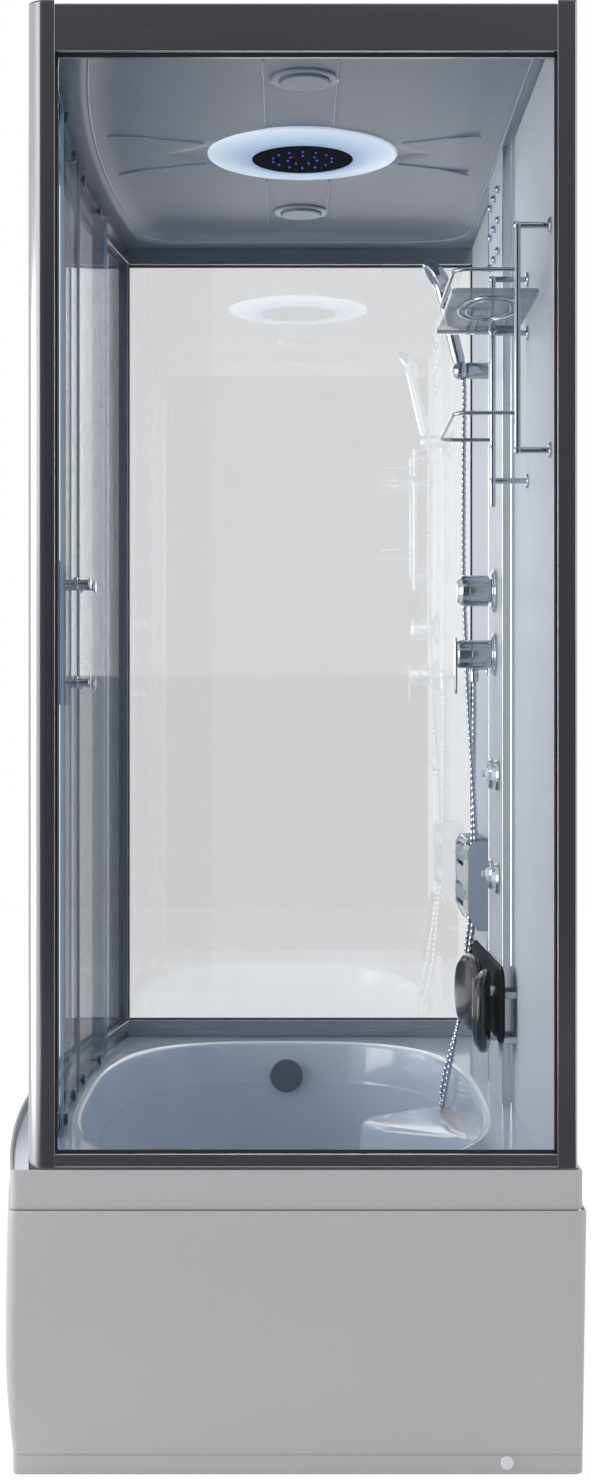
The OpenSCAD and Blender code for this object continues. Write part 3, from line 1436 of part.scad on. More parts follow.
// Handle: two spools through the glass, round caps inside and a pull bar outside
module door_handle(side) {
  t2 = glass_t / 2;
  bar_out = t2 + spool_flange_t + spool_out;
  color("silver") flipped(side) {
    for (s = [-1, 1]) on_slide(handle_x, handle_z + s * handle_span / 2) {
      cylinder_at(-t2 - spool_in, spool_r, spool_in);
      cylinder_at(-t2 - spool_flange_t, spool_flange_r, spool_flange_t);
      cylinder_at(-t2 - spool_in - spool_flange_t, spool_flange_r, spool_flange_t);
      cylinder_at(-t2, axle_r, glass_t);
      cylinder_at(t2, spool_flange_r, spool_flange_t);
      cylinder_at(t2 + spool_flange_t, spool_r, spool_out);
    }
    on_slide(handle_x, handle_z - handle_span / 2 - pull_over)
      translate([0, 0, bar_out]) rotate([-90, 0, 0])
        cylinder(r = pull_r, h = handle_span + 2 * pull_over, $fn = round_fn);
  }
}

// Hangers: inner caps and axles above, caps and sliding shoes below
module door_hangers(side) {
  t2 = glass_t / 2;
  wheel0 = rail_clear + hole_slack;
  color("midnightblue") flipped(side) for (x = [roller_in_x, roller_out_x]) {
    on_slide(x, roller_z) {
      cylinder_at(-t2 - hanger_cap_t, hanger_cap_r, hanger_cap_t);
      cylinder_at(-t2 - cut, axle_r, t2 + cut + wheel0 + roller_w + gap);
      cylinder_at(t2, axle_r + roller_groove, wheel0 - t2 - gap);
    }
    on_slide(x, shoe_z) {
      cylinder_at(-t2 - hanger_cap_t, hanger_cap_r, hanger_cap_t);
      cylinder_at(-t2 - cut, axle_r, t2 + cut + wheel0);
      translate([-hanger_cap_r, -guide_h / 2, wheel0]) cube([2 * hanger_cap_r, guide_h, roller_w]);
    }
  }
}

// Grooved roller that runs on the track of the top rail
module door_roller(side, x) {
  wheel0 = rail_clear + hole_slack;
  lip = roller_lip;
  color("midnightblue") flipped(side) on_slide(x, roller_z) translate([0, 0, wheel0])
    rotate_extrude($fn = round_fn) polygon([
      [axle_r + run_gap, 0], [roller_r, 0], [roller_r, lip],
      [roller_r - roller_groove, lip + roller_groove],
      [roller_r - roller_groove, roller_w - lip - roller_groove], [roller_r, roller_w - lip],
      [roller_r, roller_w], [axle_r + run_gap, roller_w]]);
}

tub_shell();
support_frame();
levelling_feet();
front_apron();
end_aprons();
apron_screw_caps();
drain_waste();
waste_trap();
drain_plug();
overflow_knob();
front_bottom_rail();
front_top_rail();
corner_posts();
end_beams();
end_sills();
end_glasses();
fixed_glasses();
back_panels();
column_panel();
column_trims();
roof_shell();
ceiling_lamps();
rain_head();
led_ring();
spray_plate();
column_nozzles();
valve_and_pipes();
escutcheons();
temperature_knob();
mixer_body();
mixer_lever();
hose_outlet();
jet_rings();
jet_nozzle(0);  // jet_nozzle_1
jet_nozzle(1);  // jet_nozzle_2
jet_nozzle(2);  // jet_nozzle_3
jet_nozzle(3);  // jet_nozzle_4
shelf_rack();
shelf_plate();
massager_housing();
massage_roller(massage_zs()[1]);  // massage_roller_upper
massage_roller(massage_zs()[0]);  // massage_roller_lower
backrest_base();
back_pad(pad_xs[0]);  // back_pad_left
back_pad(pad_xs[1]);  // back_pad_right
handset_holder();
handset();
shower_hose();
door_glass(-1);  // door_glass_left
door_glass(1);  // door_glass_right
door_seal(-1);  // door_seal_left
door_seal(1);  // door_seal_right
door_handle(-1);  // door_handle_left
door_handle(1);  // door_handle_right
door_hangers(-1);  // door_hangers_left
door_hangers(1);  // door_hangers_right
door_roller(-1, roller_out_x);  // door_roller_1
door_roller(-1, roller_in_x);  // door_roller_2
door_roller(1, roller_in_x);  // door_roller_3
door_roller(1, roller_out_x);  // door_roller_4
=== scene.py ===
"""Shower cabin with bathtub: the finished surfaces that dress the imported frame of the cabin.

Lengths in the functions are millimetres unless a name says otherwise; a mesh gets metres.
"""

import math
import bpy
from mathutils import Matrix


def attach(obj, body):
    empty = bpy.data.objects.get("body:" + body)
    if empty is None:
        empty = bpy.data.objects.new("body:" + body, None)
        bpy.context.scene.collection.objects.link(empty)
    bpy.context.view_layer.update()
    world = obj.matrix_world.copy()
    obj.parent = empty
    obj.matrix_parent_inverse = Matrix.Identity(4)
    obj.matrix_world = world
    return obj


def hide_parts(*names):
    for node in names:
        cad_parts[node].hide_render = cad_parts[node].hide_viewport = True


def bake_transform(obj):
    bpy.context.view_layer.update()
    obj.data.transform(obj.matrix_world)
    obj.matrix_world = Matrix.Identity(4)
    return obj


bl_info = {
    "name": "Shower cabin with bathtub",
    "version": (1, 0, 0),
    "blender": (4, 5, 0),
    "location": "3D View > Sidebar > Cabin",
    "description": "Finished surfaces, glass, fittings and light for a bath with a shower cabin",
    "category": "Object",
}

import bmesh
import bpy
import numpy as np
from bpy.props import FloatProperty, FloatVectorProperty, PointerProperty
from mathutils import Vector

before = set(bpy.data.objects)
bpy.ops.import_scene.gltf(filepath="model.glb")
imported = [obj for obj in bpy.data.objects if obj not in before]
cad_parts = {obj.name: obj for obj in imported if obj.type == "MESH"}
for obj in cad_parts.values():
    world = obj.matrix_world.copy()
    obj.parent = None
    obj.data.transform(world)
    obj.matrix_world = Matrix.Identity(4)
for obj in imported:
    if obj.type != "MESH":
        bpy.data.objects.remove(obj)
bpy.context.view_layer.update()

MM = 0.001
OUT_OF_WALL = (0, -1, 0)

# Bath and aprons
HALF_LENGTH = 750.0
BATH_BACK = 450.0
BATH_CORNER = 18.0
BOW_CY = 4628.0
APRON_R = 5078.0
APRON_TOP = 387.0
DECK_Z = 430.0
LIP_Z = 445.0
BASIN_CY = 5.0
DRAIN_X = -470.0
DRAIN_Y = 8.0
OVERFLOW_Y = 12.0
OVERFLOW_Z = 363.0

# Frame and glass
SLIDE_R = 4994.0
RAIL_IN = 4999.0
RAIL_OUT = 5030.0
FIXED_R = 5015.0
SILL_STEP = 448.0
SILL_GROOVE = 458.0
SILL_TOP = 466.0
BEAM_LOW = 2076.0
BEAM_GROOVE = 2084.0
BEAM_TOP = 2146.0
BEAM_OUT = 734.0
CABIN_H = 2150.0
END_X = 715.0
GLASS_HALF = 3.0
GROOVE_HALF = 3.3
INSIDE_X = 694.7
POST_IN = 695.0
POST_OUT = 735.0
POST_BACK = 437.0
FRONT_Y = -325.8
WALL_Y = 408.0
PANE_LOW = 458.0
PANE_HIGH = 2083.7
LEAF_LOW = 434.0
LEAF_HIGH = 2108.0
ROLLER_Z = 2097.0
SHOE_Z = 441.0
HANGER_XS = (85, 318)
HANDLE_X = 50
HANDLE_ZS = (1170, 1346)
HANDLE_LOW = 1130

# Fittings of the back wall
COLUMN_Y = 388.0
COLUMN_X = 12.0
KNOB_Z = 1335
LEVER_Z = 1221
JET_PLACES = [(-48, 1005), (72, 1005), (-48, 822), (72, 822)]
HOLDER = (-218, 345, 1769)
OUTLET_X = -322
OUTLET_Z = 1212

# Roof
ROOF_Z = 2111.0
CEILING_Z = 2126.0
CEILING_Y = 41.0


# Surfaces: every part is (points, list of face arrays), worked out as whole arrays

def grid(p, wrap_u=False, wrap_v=False):
    """A quad between each four neighbours of a (u, v, 3) array of points, wrapped where asked."""
    nu, nv = p.shape[:2]
    i = np.arange(nu if wrap_u else nu - 1)[:, None]
    j = np.arange(nv if wrap_v else nv - 1)[None, :]
    i2, j2 = (i + 1) % nu, (j + 1) % nv
    quads = np.stack(np.broadcast_arrays(i * nv + j, i2 * nv + j, i2 * nv + j2, i * nv + j2), -1)
    return p.reshape(-1, 3), [quads.reshape(-1, 4)]


def capped(p):
    """A stack of closed rings with a flat face over the first ring and over the last."""
    points, faces = grid(p, wrap_v=True)
    nu, nv = p.shape[:2]
    first = np.arange(nv)[None, ::-1]
    return points, faces + [first, first[:, ::-1] + (nu - 1) * nv]


def unit(v):
    """The vectors divided by their lengths."""
    return v / np.linalg.norm(v, axis=-1, keepdims=True)


def basis(axis):
    """Two directions at right angles to an axis and to each other, then the axis itself."""
    w = unit(np.array(axis, float))
    ref = np.array([0.0, 0.0, 1.0]) if abs(w[2]) < 0.9 else np.array([1.0, 0.0, 0.0])
    u = unit(np.cross(ref, w))
    return u, np.cross(w, u), w


def rounded(corners, radius, steps=4, closed=True):
    """Outline whose corners are arcs tangent to the two sides that meet there."""
    c = np.array(corners, float)
    n = len(c)
    radii = np.broadcast_to(np.array(radius, float), n)
    out = []
    for k in range(n):
        if radii[k] <= 0 or (not closed and k in (0, n - 1)):
            out.append(c[k][None])
            continue
        a, b = unit(c[k - 1] - c[k]), unit(c[(k + 1) % n] - c[k])
        half = math.acos(np.clip(a @ b, -1, 1)) / 2
        if half > math.pi / 2 - 1e-4:
            out.append(c[k][None])
            continue
        middle = c[k] + unit(a + b) * radii[k] / math.sin(half)
        s = c[k] + a * radii[k] / math.tan(half) - middle
        e = c[k] + b * radii[k] / math.tan(half) - middle
        a0 = math.atan2(s[1], s[0])
        a1 = math.atan2(e[1], e[0])
        turn = (a1 - a0 + math.pi) % (2 * math.pi) - math.pi
        t = a0 + turn * np.linspace(0, 1, steps + 1)
        out.append(middle + radii[k] * np.stack([np.cos(t), np.sin(t)], 1))
    return np.concatenate(out)


def lathe(profile, at=(0, 0, 0), axis=(0, 0, 1), segs=72, ring=False):
    """A profile of radius and height turned about an axis; ring joins its last point to its first."""
    q = np.array(profile, float)
    u, v, w = basis(axis)
    t = np.linspace(0, 2 * math.pi, segs, endpoint=False)
    spoke = np.cos(t)[None, :, None] * u + np.sin(t)[None, :, None] * v
    return grid(np.array(at, float) + q[:, 0, None, None] * spoke + q[:, 1, None, None] * w, ring, True)


def turned(corners, radius, at=(0, 0, 0), axis=(0, 0, 1), segs=72, steps=4):
    """A lathe part whose profile has rounded corners."""
    return lathe(rounded(corners, radius, steps, closed=False), at, axis, segs)


def tube(path, radius, ref=(0, 0, 1), segs=20, ends=True):
    """Circles carried square to a path; ref is a direction that the path never runs along."""
    p = np.array(path, float)
    t = unit(np.gradient(p, axis=0))
    u = unit(np.cross(np.array(ref, float), t))
    v = np.cross(t, u)
    a = np.linspace(0, 2 * math.pi, segs, endpoint=False)
    r = np.broadcast_to(np.array(radius, float), len(p))[:, None, None]
    ring = p[:, None] + r * (np.cos(a)[None, :, None] * u[:, None] + np.sin(a)[None, :, None] * v[:, None])
    return capped(ring) if ends else grid(ring, wrap_v=True)


def rod(a, b, radius, segs=24, round_end=0.6):
    """A straight round bar with its end edges rounded."""
    a, b = np.array(a, float), np.array(b, float)
    l = float(np.linalg.norm(b - a))
    e = min(round_end, radius / 2, l / 3)
    return turned([(0, 0), (radius, 0), (radius, l), (0, l)], [0, e, e, 0], a, b - a, segs, 3)


def bow(profile, x0, x1, n=97):
    """A closed profile of radius and height carried along the bow and cut square at both ends."""
    q = np.array(profile, float)
    x = np.linspace(x0, x1, n)[:, None]
    y = BOW_CY - np.sqrt(q[None, :, 0] ** 2 - x ** 2)
    return capped(np.stack(np.broadcast_arrays(x, y, q[None, :, 1]), -1))


def ring_of(half_x, half_y, corner, inset, steps=4):
    """Rounded rectangles about the origin, one for each inset."""
    d = np.array(inset, float)[:, None]
    t = np.linspace(0, math.pi / 2, steps + 1)
    a = (t[None] + np.arange(4)[:, None] * math.pi / 2).ravel()[None]
    sx = np.repeat([1, -1, -1, 1], steps + 1)[None]
    sy = np.repeat([1, 1, -1, -1], steps + 1)[None]
    r = np.maximum(corner - d, 0.02)
    x = sx * (half_x - d - r) + r * np.cos(a)
    y = sy * (half_y - d - r) + r * np.sin(a)
    return np.stack([x, y], -1)


def block(low, high, edge=1.0, corner=None, steps=3, axis=2):
    """A box with rounded edges: rounded rectangles stacked along one axis, drawn in at both ends."""
    low, high = np.array(low, float), np.array(high, float)
    order = [(1, 2, 0), (2, 0, 1), (0, 1, 2)][axis]
    half = (high - low)[list(order)] / 2
    e = min(edge, half.min() * 0.98)
    c = max(e, corner or e)
    t = np.linspace(0, math.pi / 2, steps + 1)
    d = np.concatenate([e * (1 - np.sin(t)), e * (1 - np.sin(t[::-1]))])
    h = np.concatenate([-half[2] + e * (1 - np.cos(t)), half[2] - e * (1 - np.cos(t[::-1]))])
    ring = ring_of(half[0], half[1], c, d, steps)
    p = np.concatenate([ring, np.broadcast_to(h[:, None, None], ring.shape[:2] + (1,))], -1)
    out = np.empty_like(p)
    out[..., list(order)] = p
    points, faces = capped(out)
    return points + (low + high) / 2, faces


def plate(outline, z0, z1, edge=1.0, steps=3):
    """A flat piece: its outline stacked in rings that are drawn in at both faces by a rounded edge."""
    o = np.array(outline, float)
    t = unit(np.roll(o, -1, 0) - np.roll(o, 1, 0))
    out = np.stack([t[:, 1], -t[:, 0]], 1)
    a = np.linspace(0, math.pi / 2, steps + 1)
    d = np.concatenate([edge * (1 - np.sin(a)), edge * (1 - np.sin(a[::-1]))])
    h = np.concatenate([z0 + edge * (1 - np.cos(a)), z1 - edge * (1 - np.cos(a[::-1]))])
    ring = o[None] - out[None] * d[:, None, None]
    return capped(np.concatenate([ring, np.broadcast_to(h[:, None, None], ring.shape[:2] + (1,))], -1))


def placed(part, at, x=(1, 0, 0), y=(0, 1, 0), z=(0, 0, 1)):
    """A part whose own axes are laid along three directions from a point."""
    points, faces = part
    return points @ np.array([x, y, z], float) + np.array(at, float), faces


def wall_part(part, x, y, z):
    """A part whose own height runs out of the back wall, toward the doors."""
    return placed(part, (x, y, z), (1, 0, 0), (0, 0, 1), (0, -1, 0))


def slide_part(part, x, z):
    """A part on the sliding glass: its own height runs outward from the cabin."""
    a = math.asin(x / SLIDE_R)
    at = (SLIDE_R * math.sin(a), BOW_CY - SLIDE_R * math.cos(a), z)
    return placed(part, at, (math.cos(a), math.sin(a), 0), (0, 0, 1), (math.sin(a), -math.cos(a), 0))


def level(ring, z):
    """A ring of (x, y) points laid flat at a height."""
    return np.column_stack([ring, np.full(len(ring), z)])


def between(low, high, k):
    """The height that lies a share of the way up from low to high."""
    return low + k * (high - low)


def ring_tube(loop, side, radius, turn):
    """A round bead along a closed loop; side points outward from it, in its plane."""
    spoke = np.cos(turn)[None, :, None] * side[:, None] + np.sin(turn)[None, :, None] * [0, 0, 1]
    return grid(loop[:, None] + radius * spoke, True, True)


def face_list(faces):
    """Face arrays as one list of faces."""
    return [f for group in faces for f in group.tolist()]


def flipped(part):
    """The part's mirror image across the middle of the cabin."""
    points, faces = part
    return points * np.array([-1.0, 1.0, 1.0]), [f[:, ::-1] for f in faces]


def sided(part, side):
    """The part as it is for the right side, and its mirror image for the left side, which is negative."""
    return part if side > 0 else flipped(part)


def both(part):
    """A part and its mirror image."""
    return [part, flipped(part)]


def smooth_rows(rows, n):
    """A smooth curve through rows of numbers: each span is a cubic whose slopes come from its neighbours."""
    p = np.array(rows, float)
    k = np.arange(len(p) - 1)
    a, b, c, d = p[np.maximum(k - 1, 0)], p[k], p[k + 1], p[np.minimum(k + 2, len(p) - 1)]
    t = np.linspace(0, 1, n, endpoint=False)[:, None, None]
    q = (2 * b + (c - a) * t + (2 * a - 5 * b + 4 * c - d) * t ** 2 + (3 * b - a - 3 * c + d) * t ** 3) / 2
    return np.concatenate([q.transpose(1, 0, 2).reshape(-1, p.shape[1]), p[-1:]])


def even(path, n):
    """Points at equal distances along a path."""
    run = np.concatenate([[0], np.cumsum(np.linalg.norm(np.diff(path, axis=0), axis=1))])
    s = np.linspace(0, run[-1], n)
    return np.stack([np.interp(s, run, path[:, k]) for k in range(3)], 1), run[-1]


def piece(name, parts, body, replaces=(), sharp=32.0, outward=True, weighted=True, weld=0.004):
    """One object from parts of (part, material): points joined, faces outward, edges kept crisp."""
    mesh = bpy.data.meshes.new(name)
    points, faces, which, mats = [], [], [], []
    base = 0
    for (p, fs), material in parts:
        if material not in mats:
            mats.append(material)
        points.append(p)
        for f in fs:
            faces += (f + base).tolist()
            which += [mats.index(material)] * len(f)
        base += len(p)
    mesh.from_pydata((np.concatenate(points) * MM).tolist(), [], faces)
    for m in mats:
        mesh.materials.append(m)
    mesh.polygons.foreach_set("material_index", which)
    bm = bmesh.new()
    bm.from_mesh(mesh)
    bmesh.ops.remove_doubles(bm, verts=bm.verts, dist=weld * MM)
    bmesh.ops.dissolve_degenerate(bm, edges=bm.edges, dist=1e-7)
    if outward:
        bmesh.ops.recalc_face_normals(bm, faces=bm.faces)
    bm.to_mesh(mesh)
    bm.free()
    mesh.polygons.foreach_set("use_smooth", [True] * len(mesh.polygons))
    mesh.set_sharp_from_angle(angle=math.radians(sharp))
    o = bpy.data.objects.new(name, mesh)
    bpy.context.scene.collection.objects.link(o)
    if weighted:
        m = o.modifiers.new("Even shading", "WEIGHTED_NORMAL")
        m.keep_sharp = True
        m.weight = 60
    if body:
        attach(o, body)
    if replaces:
        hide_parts(*replaces)
    return o


def dress(material, *nodes):
    """Gives CAD nodes a finish."""
    for n in nodes:
        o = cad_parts[n]
        o.data.materials.clear()
        o.data.materials.append(material)


# Finishes

def tone(r, g, b):
    """A display colour from 0 to 255 as linear light."""
    c = np.array([r, g, b], float) / 255
    return tuple(np.where(c <= 0.04045, c / 12.92, ((c + 0.055) / 1.055) ** 2.4)) + (1.0,)


def noise_node(nodes, links, scale, detail=3.0, stretch=(1, 1, 1), rough=0.5):
    """Noise on the piece's own coordinates, stretched along its axes."""
    place = nodes.new("ShaderNodeTexCoord")
    turn = nodes.new("ShaderNodeMapping")
    turn.inputs["Scale"].default_value = stretch
    noise = nodes.new("ShaderNodeTexNoise")
    noise.inputs["Scale"].default_value = scale
    noise.inputs["Detail"].default_value = detail
    noise.inputs["Roughness"].default_value = rough
    links.new(place.outputs["Object"], turn.inputs["Vector"])
    links.new(turn.outputs["Vector"], noise.inputs["Vector"])
    return noise.outputs["Fac"]


def remap(nodes, links, value, low, high):
    """A value from 0 to 1 spread over a new range."""
    m = nodes.new("ShaderNodeMapRange")
    m.inputs["From Min"].default_value = 0.3
    m.inputs["From Max"].default_value = 0.7
    m.inputs["To Min"].default_value = low
    m.inputs["To Max"].default_value = high
    links.new(value, m.inputs["Value"])
    return m.outputs["Result"]


def finish(name, colour, rough=0.35, metal=0.0, drift=0.02, drift_scale=3.0, grain=0.0, grain_scale=900.0,
           stretch=(1, 1, 1), rough_drift=0.015, coat=0.0, alpha=1.0, spec=0.5, glow=0.0):
    """Principled finish: its colour drifts by soft noise, its roughness by a finer one, grain bumps it."""
    if name in bpy.data.materials:
        return bpy.data.materials[name]
    m = bpy.data.materials.new(name)
    m.use_nodes = True
    nodes, links = m.node_tree.nodes, m.node_tree.links
    b = nodes["Principled BSDF"]
    c = tone(*colour)
    mix = nodes.new("ShaderNodeMix")
    mix.data_type = "RGBA"
    mix.inputs[6].default_value = tuple(v * (1 - drift) for v in c[:3]) + (1,)
    mix.inputs[7].default_value = tuple(min(v * (1 + drift), 1) for v in c[:3]) + (1,)
    links.new(remap(nodes, links, noise_node(nodes, links, drift_scale, 3.0, stretch), 0, 1), mix.inputs[0])
    links.new(mix.outputs[2], b.inputs["Base Color"])
    links.new(remap(nodes, links, noise_node(nodes, links, drift_scale * 9, 4.0, stretch),
                    max(rough - rough_drift, 0.02), rough + rough_drift), b.inputs["Roughness"])
    b.inputs["Metallic"].default_value = metal
    b.inputs["Specular IOR Level"].default_value = spec
    b.inputs["Coat Weight"].default_value = coat
    b.inputs["Coat Roughness"].default_value = 0.08
    b.inputs["Alpha"].default_value = alpha
    if glow:
        b.inputs["Emission Strength"].default_value = glow
        links.new(mix.outputs[2], b.inputs["Emission Color"])
    if grain:
        bump = nodes.new("ShaderNodeBump")
        bump.inputs["Strength"].default_value = grain
        bump.inputs["Distance"].default_value = 0.0004
        links.new(noise_node(nodes, links, grain_scale, 2.0, stretch), bump.inputs["Height"])
        links.new(bump.outputs["Normal"], b.inputs["Normal"])
    return m


def glass_finish(name, colour, alpha, rough=0.02, rise=0.4, mirror=0.0):
    """Clear pane: a thin tint over what lies behind it, stronger toward grazing views, with faint smears."""
    if name in bpy.data.materials:
        return bpy.data.materials[name]
    m = bpy.data.materials.new(name)
    m.use_nodes = True
    nodes, links = m.node_tree.nodes, m.node_tree.links
    b = nodes["Principled BSDF"]
    b.inputs["Base Color"].default_value = tone(*colour)
    b.inputs["IOR"].default_value = 1.5
    b.inputs["Metallic"].default_value = mirror
    links.new(remap(nodes, links, noise_node(nodes, links, 5.0), rough, rough + 0.01), b.inputs["Roughness"])
    edge = nodes.new("ShaderNodeLayerWeight")
    edge.inputs["Blend"].default_value = 0.18
    spread = nodes.new("ShaderNodeMapRange")
    spread.inputs["To Min"].default_value = alpha
    spread.inputs["To Max"].default_value = min(alpha + rise, 1)
    links.new(edge.outputs["Fresnel"], spread.inputs["Value"])
    links.new(spread.outputs["Result"], b.inputs["Alpha"])
    m.surface_render_method = "BLENDED"
    return m


def length(label, text, value, low=0.0001):
    """A length in metres that a user would change."""
    return FloatProperty(name=label, description=text, default=value, min=low, subtype="DISTANCE",
                         unit="LENGTH", precision=4)


def colour(label, text, value):
    """A display colour, 0 to 1, that a user would change."""
    return FloatVectorProperty(name=label, description=text, default=tuple(v / 255 for v in value), size=3,
                               min=0.0, max=1.0, subtype="COLOR_GAMMA")


def share(label, text, value):
    """A share from 0 to 1 that a user would change."""
    return FloatProperty(name=label, description=text, default=value, min=0.0, max=1.0)


def as_tone(value):
    """A colour setting as numbers from 0 to 255."""
    return tuple(v * 255 for v in value)


class BathSettings(bpy.types.PropertyGroup):
    """Bath, seat and aprons"""
    outside: colour("Outside", "Colour of the skirt and the aprons", (175, 175, 175))
    inside: colour("Inside", "Colour of the basin and the deck", (190, 201, 216))
    seat_z: length("Seat height", "Top of the moulded seat", 0.350)
    floor_z: length("Floor height", "Top of the basin's floor", 0.095)
    wall: length("Shell", "Thickness of the acrylic shell", 0.006)


class FrameSettings(bpy.types.PropertyGroup):
    """Aluminium frame and glass"""
    dark: colour("Dark profile", "Satin posts, rails and beams", (178, 180, 184))
    bright: colour("Bright profile", "Bright trims of the column", (214, 216, 220))
    sill: colour("Sill", "Satin sills under the end panes", (180, 182, 188))
    glass: colour("Glass", "Tint of the panes", (144, 153, 164))
    # Door glass: darker than the end panes' glass, as painted shade for the bowed panes' almost edge-on view.
    door_glass: colour("Door glass", "Tint of the bowed panes, seen almost edge on", (84, 92, 104))
    glass_edge: colour("Glass edge", "Polished edges of the panes", (120, 160, 190))
    mirror: share("Mirror", "Share of light that each face of the far pane mirrors", 0.225)
    clarity: share("Pane tint", "Share of light that a pane stops head on", 0.015)


class ServiceSettings(bpy.types.PropertyGroup):
    """Column, mixer, jets and hand shower"""
    panel: colour("Wall panel", "Panels of the back wall", (188, 194, 200))
    column: colour("Column", "Front of the service column", (184, 189, 197))
    chrome: colour("Chrome", "Polished fittings", (186, 193, 201))
    hose_d: length("Hose diameter", "Outer diameter of the shower hose", 0.010)
    bead: length("Hose rib", "Distance from one rib of the hose to the next", 0.0119)


class ComfortSettings(bpy.types.PropertyGroup):
    """Massager, pads and shelf"""
    massager: colour("Massager", "Moulded housing of the massager", (148, 160, 172))
    pad: colour("Pad", "Skin of the back pads", (22, 23, 26))
    pad_fill: share("Pad fill", "0 is slack and 1 is full", 0.95)


class RoofSettings(bpy.types.PropertyGroup):
    """Roof, lit ring and lamps"""
    ceiling: colour("Ceiling", "Moulded roof", (94, 104, 119))
    # Folds: lighter than the ceiling, a painted highlight on the folds and the edge bead, which are the
    # ceiling's own moulding.
    fold_highlight: colour("Folds", "Raised folds of the moulded roof", (132, 148, 168))
    ring: colour("Ring", "Lit ring around the spray plate", (222, 236, 248))
    glow: FloatProperty(name="Glow", description="Strength of the ring's own light", default=0.25, min=0.0)


class StageSettings(bpy.types.PropertyGroup):
    """Floor, light and camera"""
    lamp: FloatProperty(name="Lamp", description="Power of each soft lamp in watts", default=60.0, min=0.0)
    inner: FloatProperty(name="Cabin light", description="Power under the lit ring in watts", default=1.5,
                         min=0.0)
    lens: FloatProperty(name="Lens", description="Focal length in millimetres", default=51.8, min=1.0)


# Pieces

HOSE_ROUTE = [
    (-218, 348.34, 1755.6), (-218, 350, 1749), (-219, 351, 1738), (-220, 351, 1700),
    (-222, 350, 1560), (-224, 350, 1400), (-227, 354, 1260), (-230, 360, 1130),
    (-233, 368, 1000), (-236, 374, 880), (-237, 373, 800), (-238, 369.5, 710),
    (-239, 365.5, 680), (-240, 358, 620), (-240, 343, 527), (-240, 331, 470),
    (-241, 319, 405), (-247, 315, 381), (-262, 313, 363), (-281, 312, 357), (-300, 313, 363),
    (-315, 315, 381), (-321, 320, 407), (-322, 334, 462), (-322, 350, 520), (-322, 361, 620),
    (-322, 365.5, 680), (-322, 370, 710), (-322, 374, 800), (-322, 376, 900), (-322, 378, 1020),
    (-322, 379, 1120), (-322, 379, 1166), (-322, 379, 1177.7),
]


class CABIN_OT_hose(bpy.types.Operator):
    """Ribbed shower hose from its wall outlet to the hand shower"""
    bl_idname = "cabin.hose"
    bl_label = "Shower hose"

    def execute(self, context):
        s = context.scene.cabin_service
        r = s.hose_d / MM / 2
        dense = smooth_rows(HOSE_ROUTE[::-1], 24)
        ribs = int(even(dense, 2000)[1] / (s.bead / MM))
        line, run = even(dense, ribs * 8 + 1)
        wave = np.sqrt(np.abs(np.sin(math.pi * np.arange(len(line)) / 8)))
        radius = r * (0.48 + 0.52 * wave)
        hose = piece("shower_hose_ribbed", [(tube(line, radius, (0, 1, 0), 14), chrome("hose"))], None,
                     ["shower_hose"], sharp=80, weighted=False)
        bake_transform(hose)
        return {"FINISHED"}


def chrome(kind="plain"):
    """Polished chrome, with finer streaks on the hose."""
    c = as_tone(bpy.context.scene.cabin_service.chrome)
    if kind == "hose":
        return finish("Hose chrome", c, 0.16, 1.0, 0.03, 60.0)
    return finish("Polished chrome", c, 0.09, 1.0, 0.03, 14.0, rough_drift=0.035)


def bowed_outline(half_length, front_r, back, corner, n_front, n_corner, n_side, n_back):
    """Outline with a bowed front, straight ends and back, and four rounded corners."""
    cx, by = half_length - corner, back - corner
    phi = math.asin(cx / (front_r - corner))
    fy = BOW_CY - (front_r - corner) * math.cos(phi)
    t = np.linspace(0, 1, n_front)
    a = (phi - math.pi / 2) * (1 - np.linspace(0, 1, n_corner + 1)[1:])
    b = np.linspace(0, math.pi / 2, n_corner + 1)
    half = np.concatenate([
        np.stack([front_r * np.sin(phi * t), BOW_CY - front_r * np.cos(phi * t)], 1),
        np.stack([cx + corner * np.cos(a), fy + corner * np.sin(a)], 1),
        np.stack([np.full(n_side - 1, half_length), fy + (by - fy) * np.arange(1, n_side) / n_side], 1),
        np.stack([cx + corner * np.cos(b), by + corner * np.sin(b)], 1),
        np.stack([cx * (1 - np.arange(1, n_back + 1) / n_back), np.full(n_back, back)], 1)])
    return np.concatenate([half, half[-2:0:-1] * [-1, 1]])


def plan(inset):
    """The bath's outline drawn in by an inset."""
    corner = BATH_CORNER - min(inset, BATH_CORNER - 1)
    return bowed_outline(HALF_LENGTH - inset, APRON_R - inset, BATH_BACK - inset, corner, 90, 10, 40, 120)


BASIN_X = 630
BASIN_Y = 345
SEAT_X = -170
SEAT_HALF = 200
SEAT_PUSH = 182


def basin(rays, inset, pushed):
    """Basin ring: a power-3 oval met by rays from its centre, pushed in at the back for the seat."""
    a, b = BASIN_X - inset, BASIN_Y - inset
    r = (np.abs(np.cos(rays) / a) ** 3 + np.abs(np.sin(rays) / b) ** 3) ** (-1 / 3)
    x, y = r * np.cos(rays), r * np.sin(rays)
    wave = SEAT_PUSH * np.cos(math.pi * (x - SEAT_X) / (2 * SEAT_HALF)) ** 2
    push = np.where(np.abs(x - SEAT_X) < SEAT_HALF, wave, 0)
    return np.stack([x, BASIN_CY + y - np.where(y > 0, pushed * push, 0)], 1)


# Rows of the basin's wall: share of the height, inset of the oval, share of the seat's push
ABOVE_SEAT = [(1, -17, 0), (0.998, -13, 0), (0.975, -5, 0), (0.9, 0, 0), (0.5, 6, 0), (0.02, 12, 0)]
SEAT_EDGE = [(1, 12.4, 0.88), (0.998, 12.6, 0.93), (0.985, 12.9, 0.98)]
BELOW_SEAT = [(0.96, 13.2, 1), (0.7, 20, 1), (0.46, 30, 1), (0.27, 42, 1), (0.12, 62, 0.97),
              (0.03, 92, 0.88), (0, 120, 0.75)]


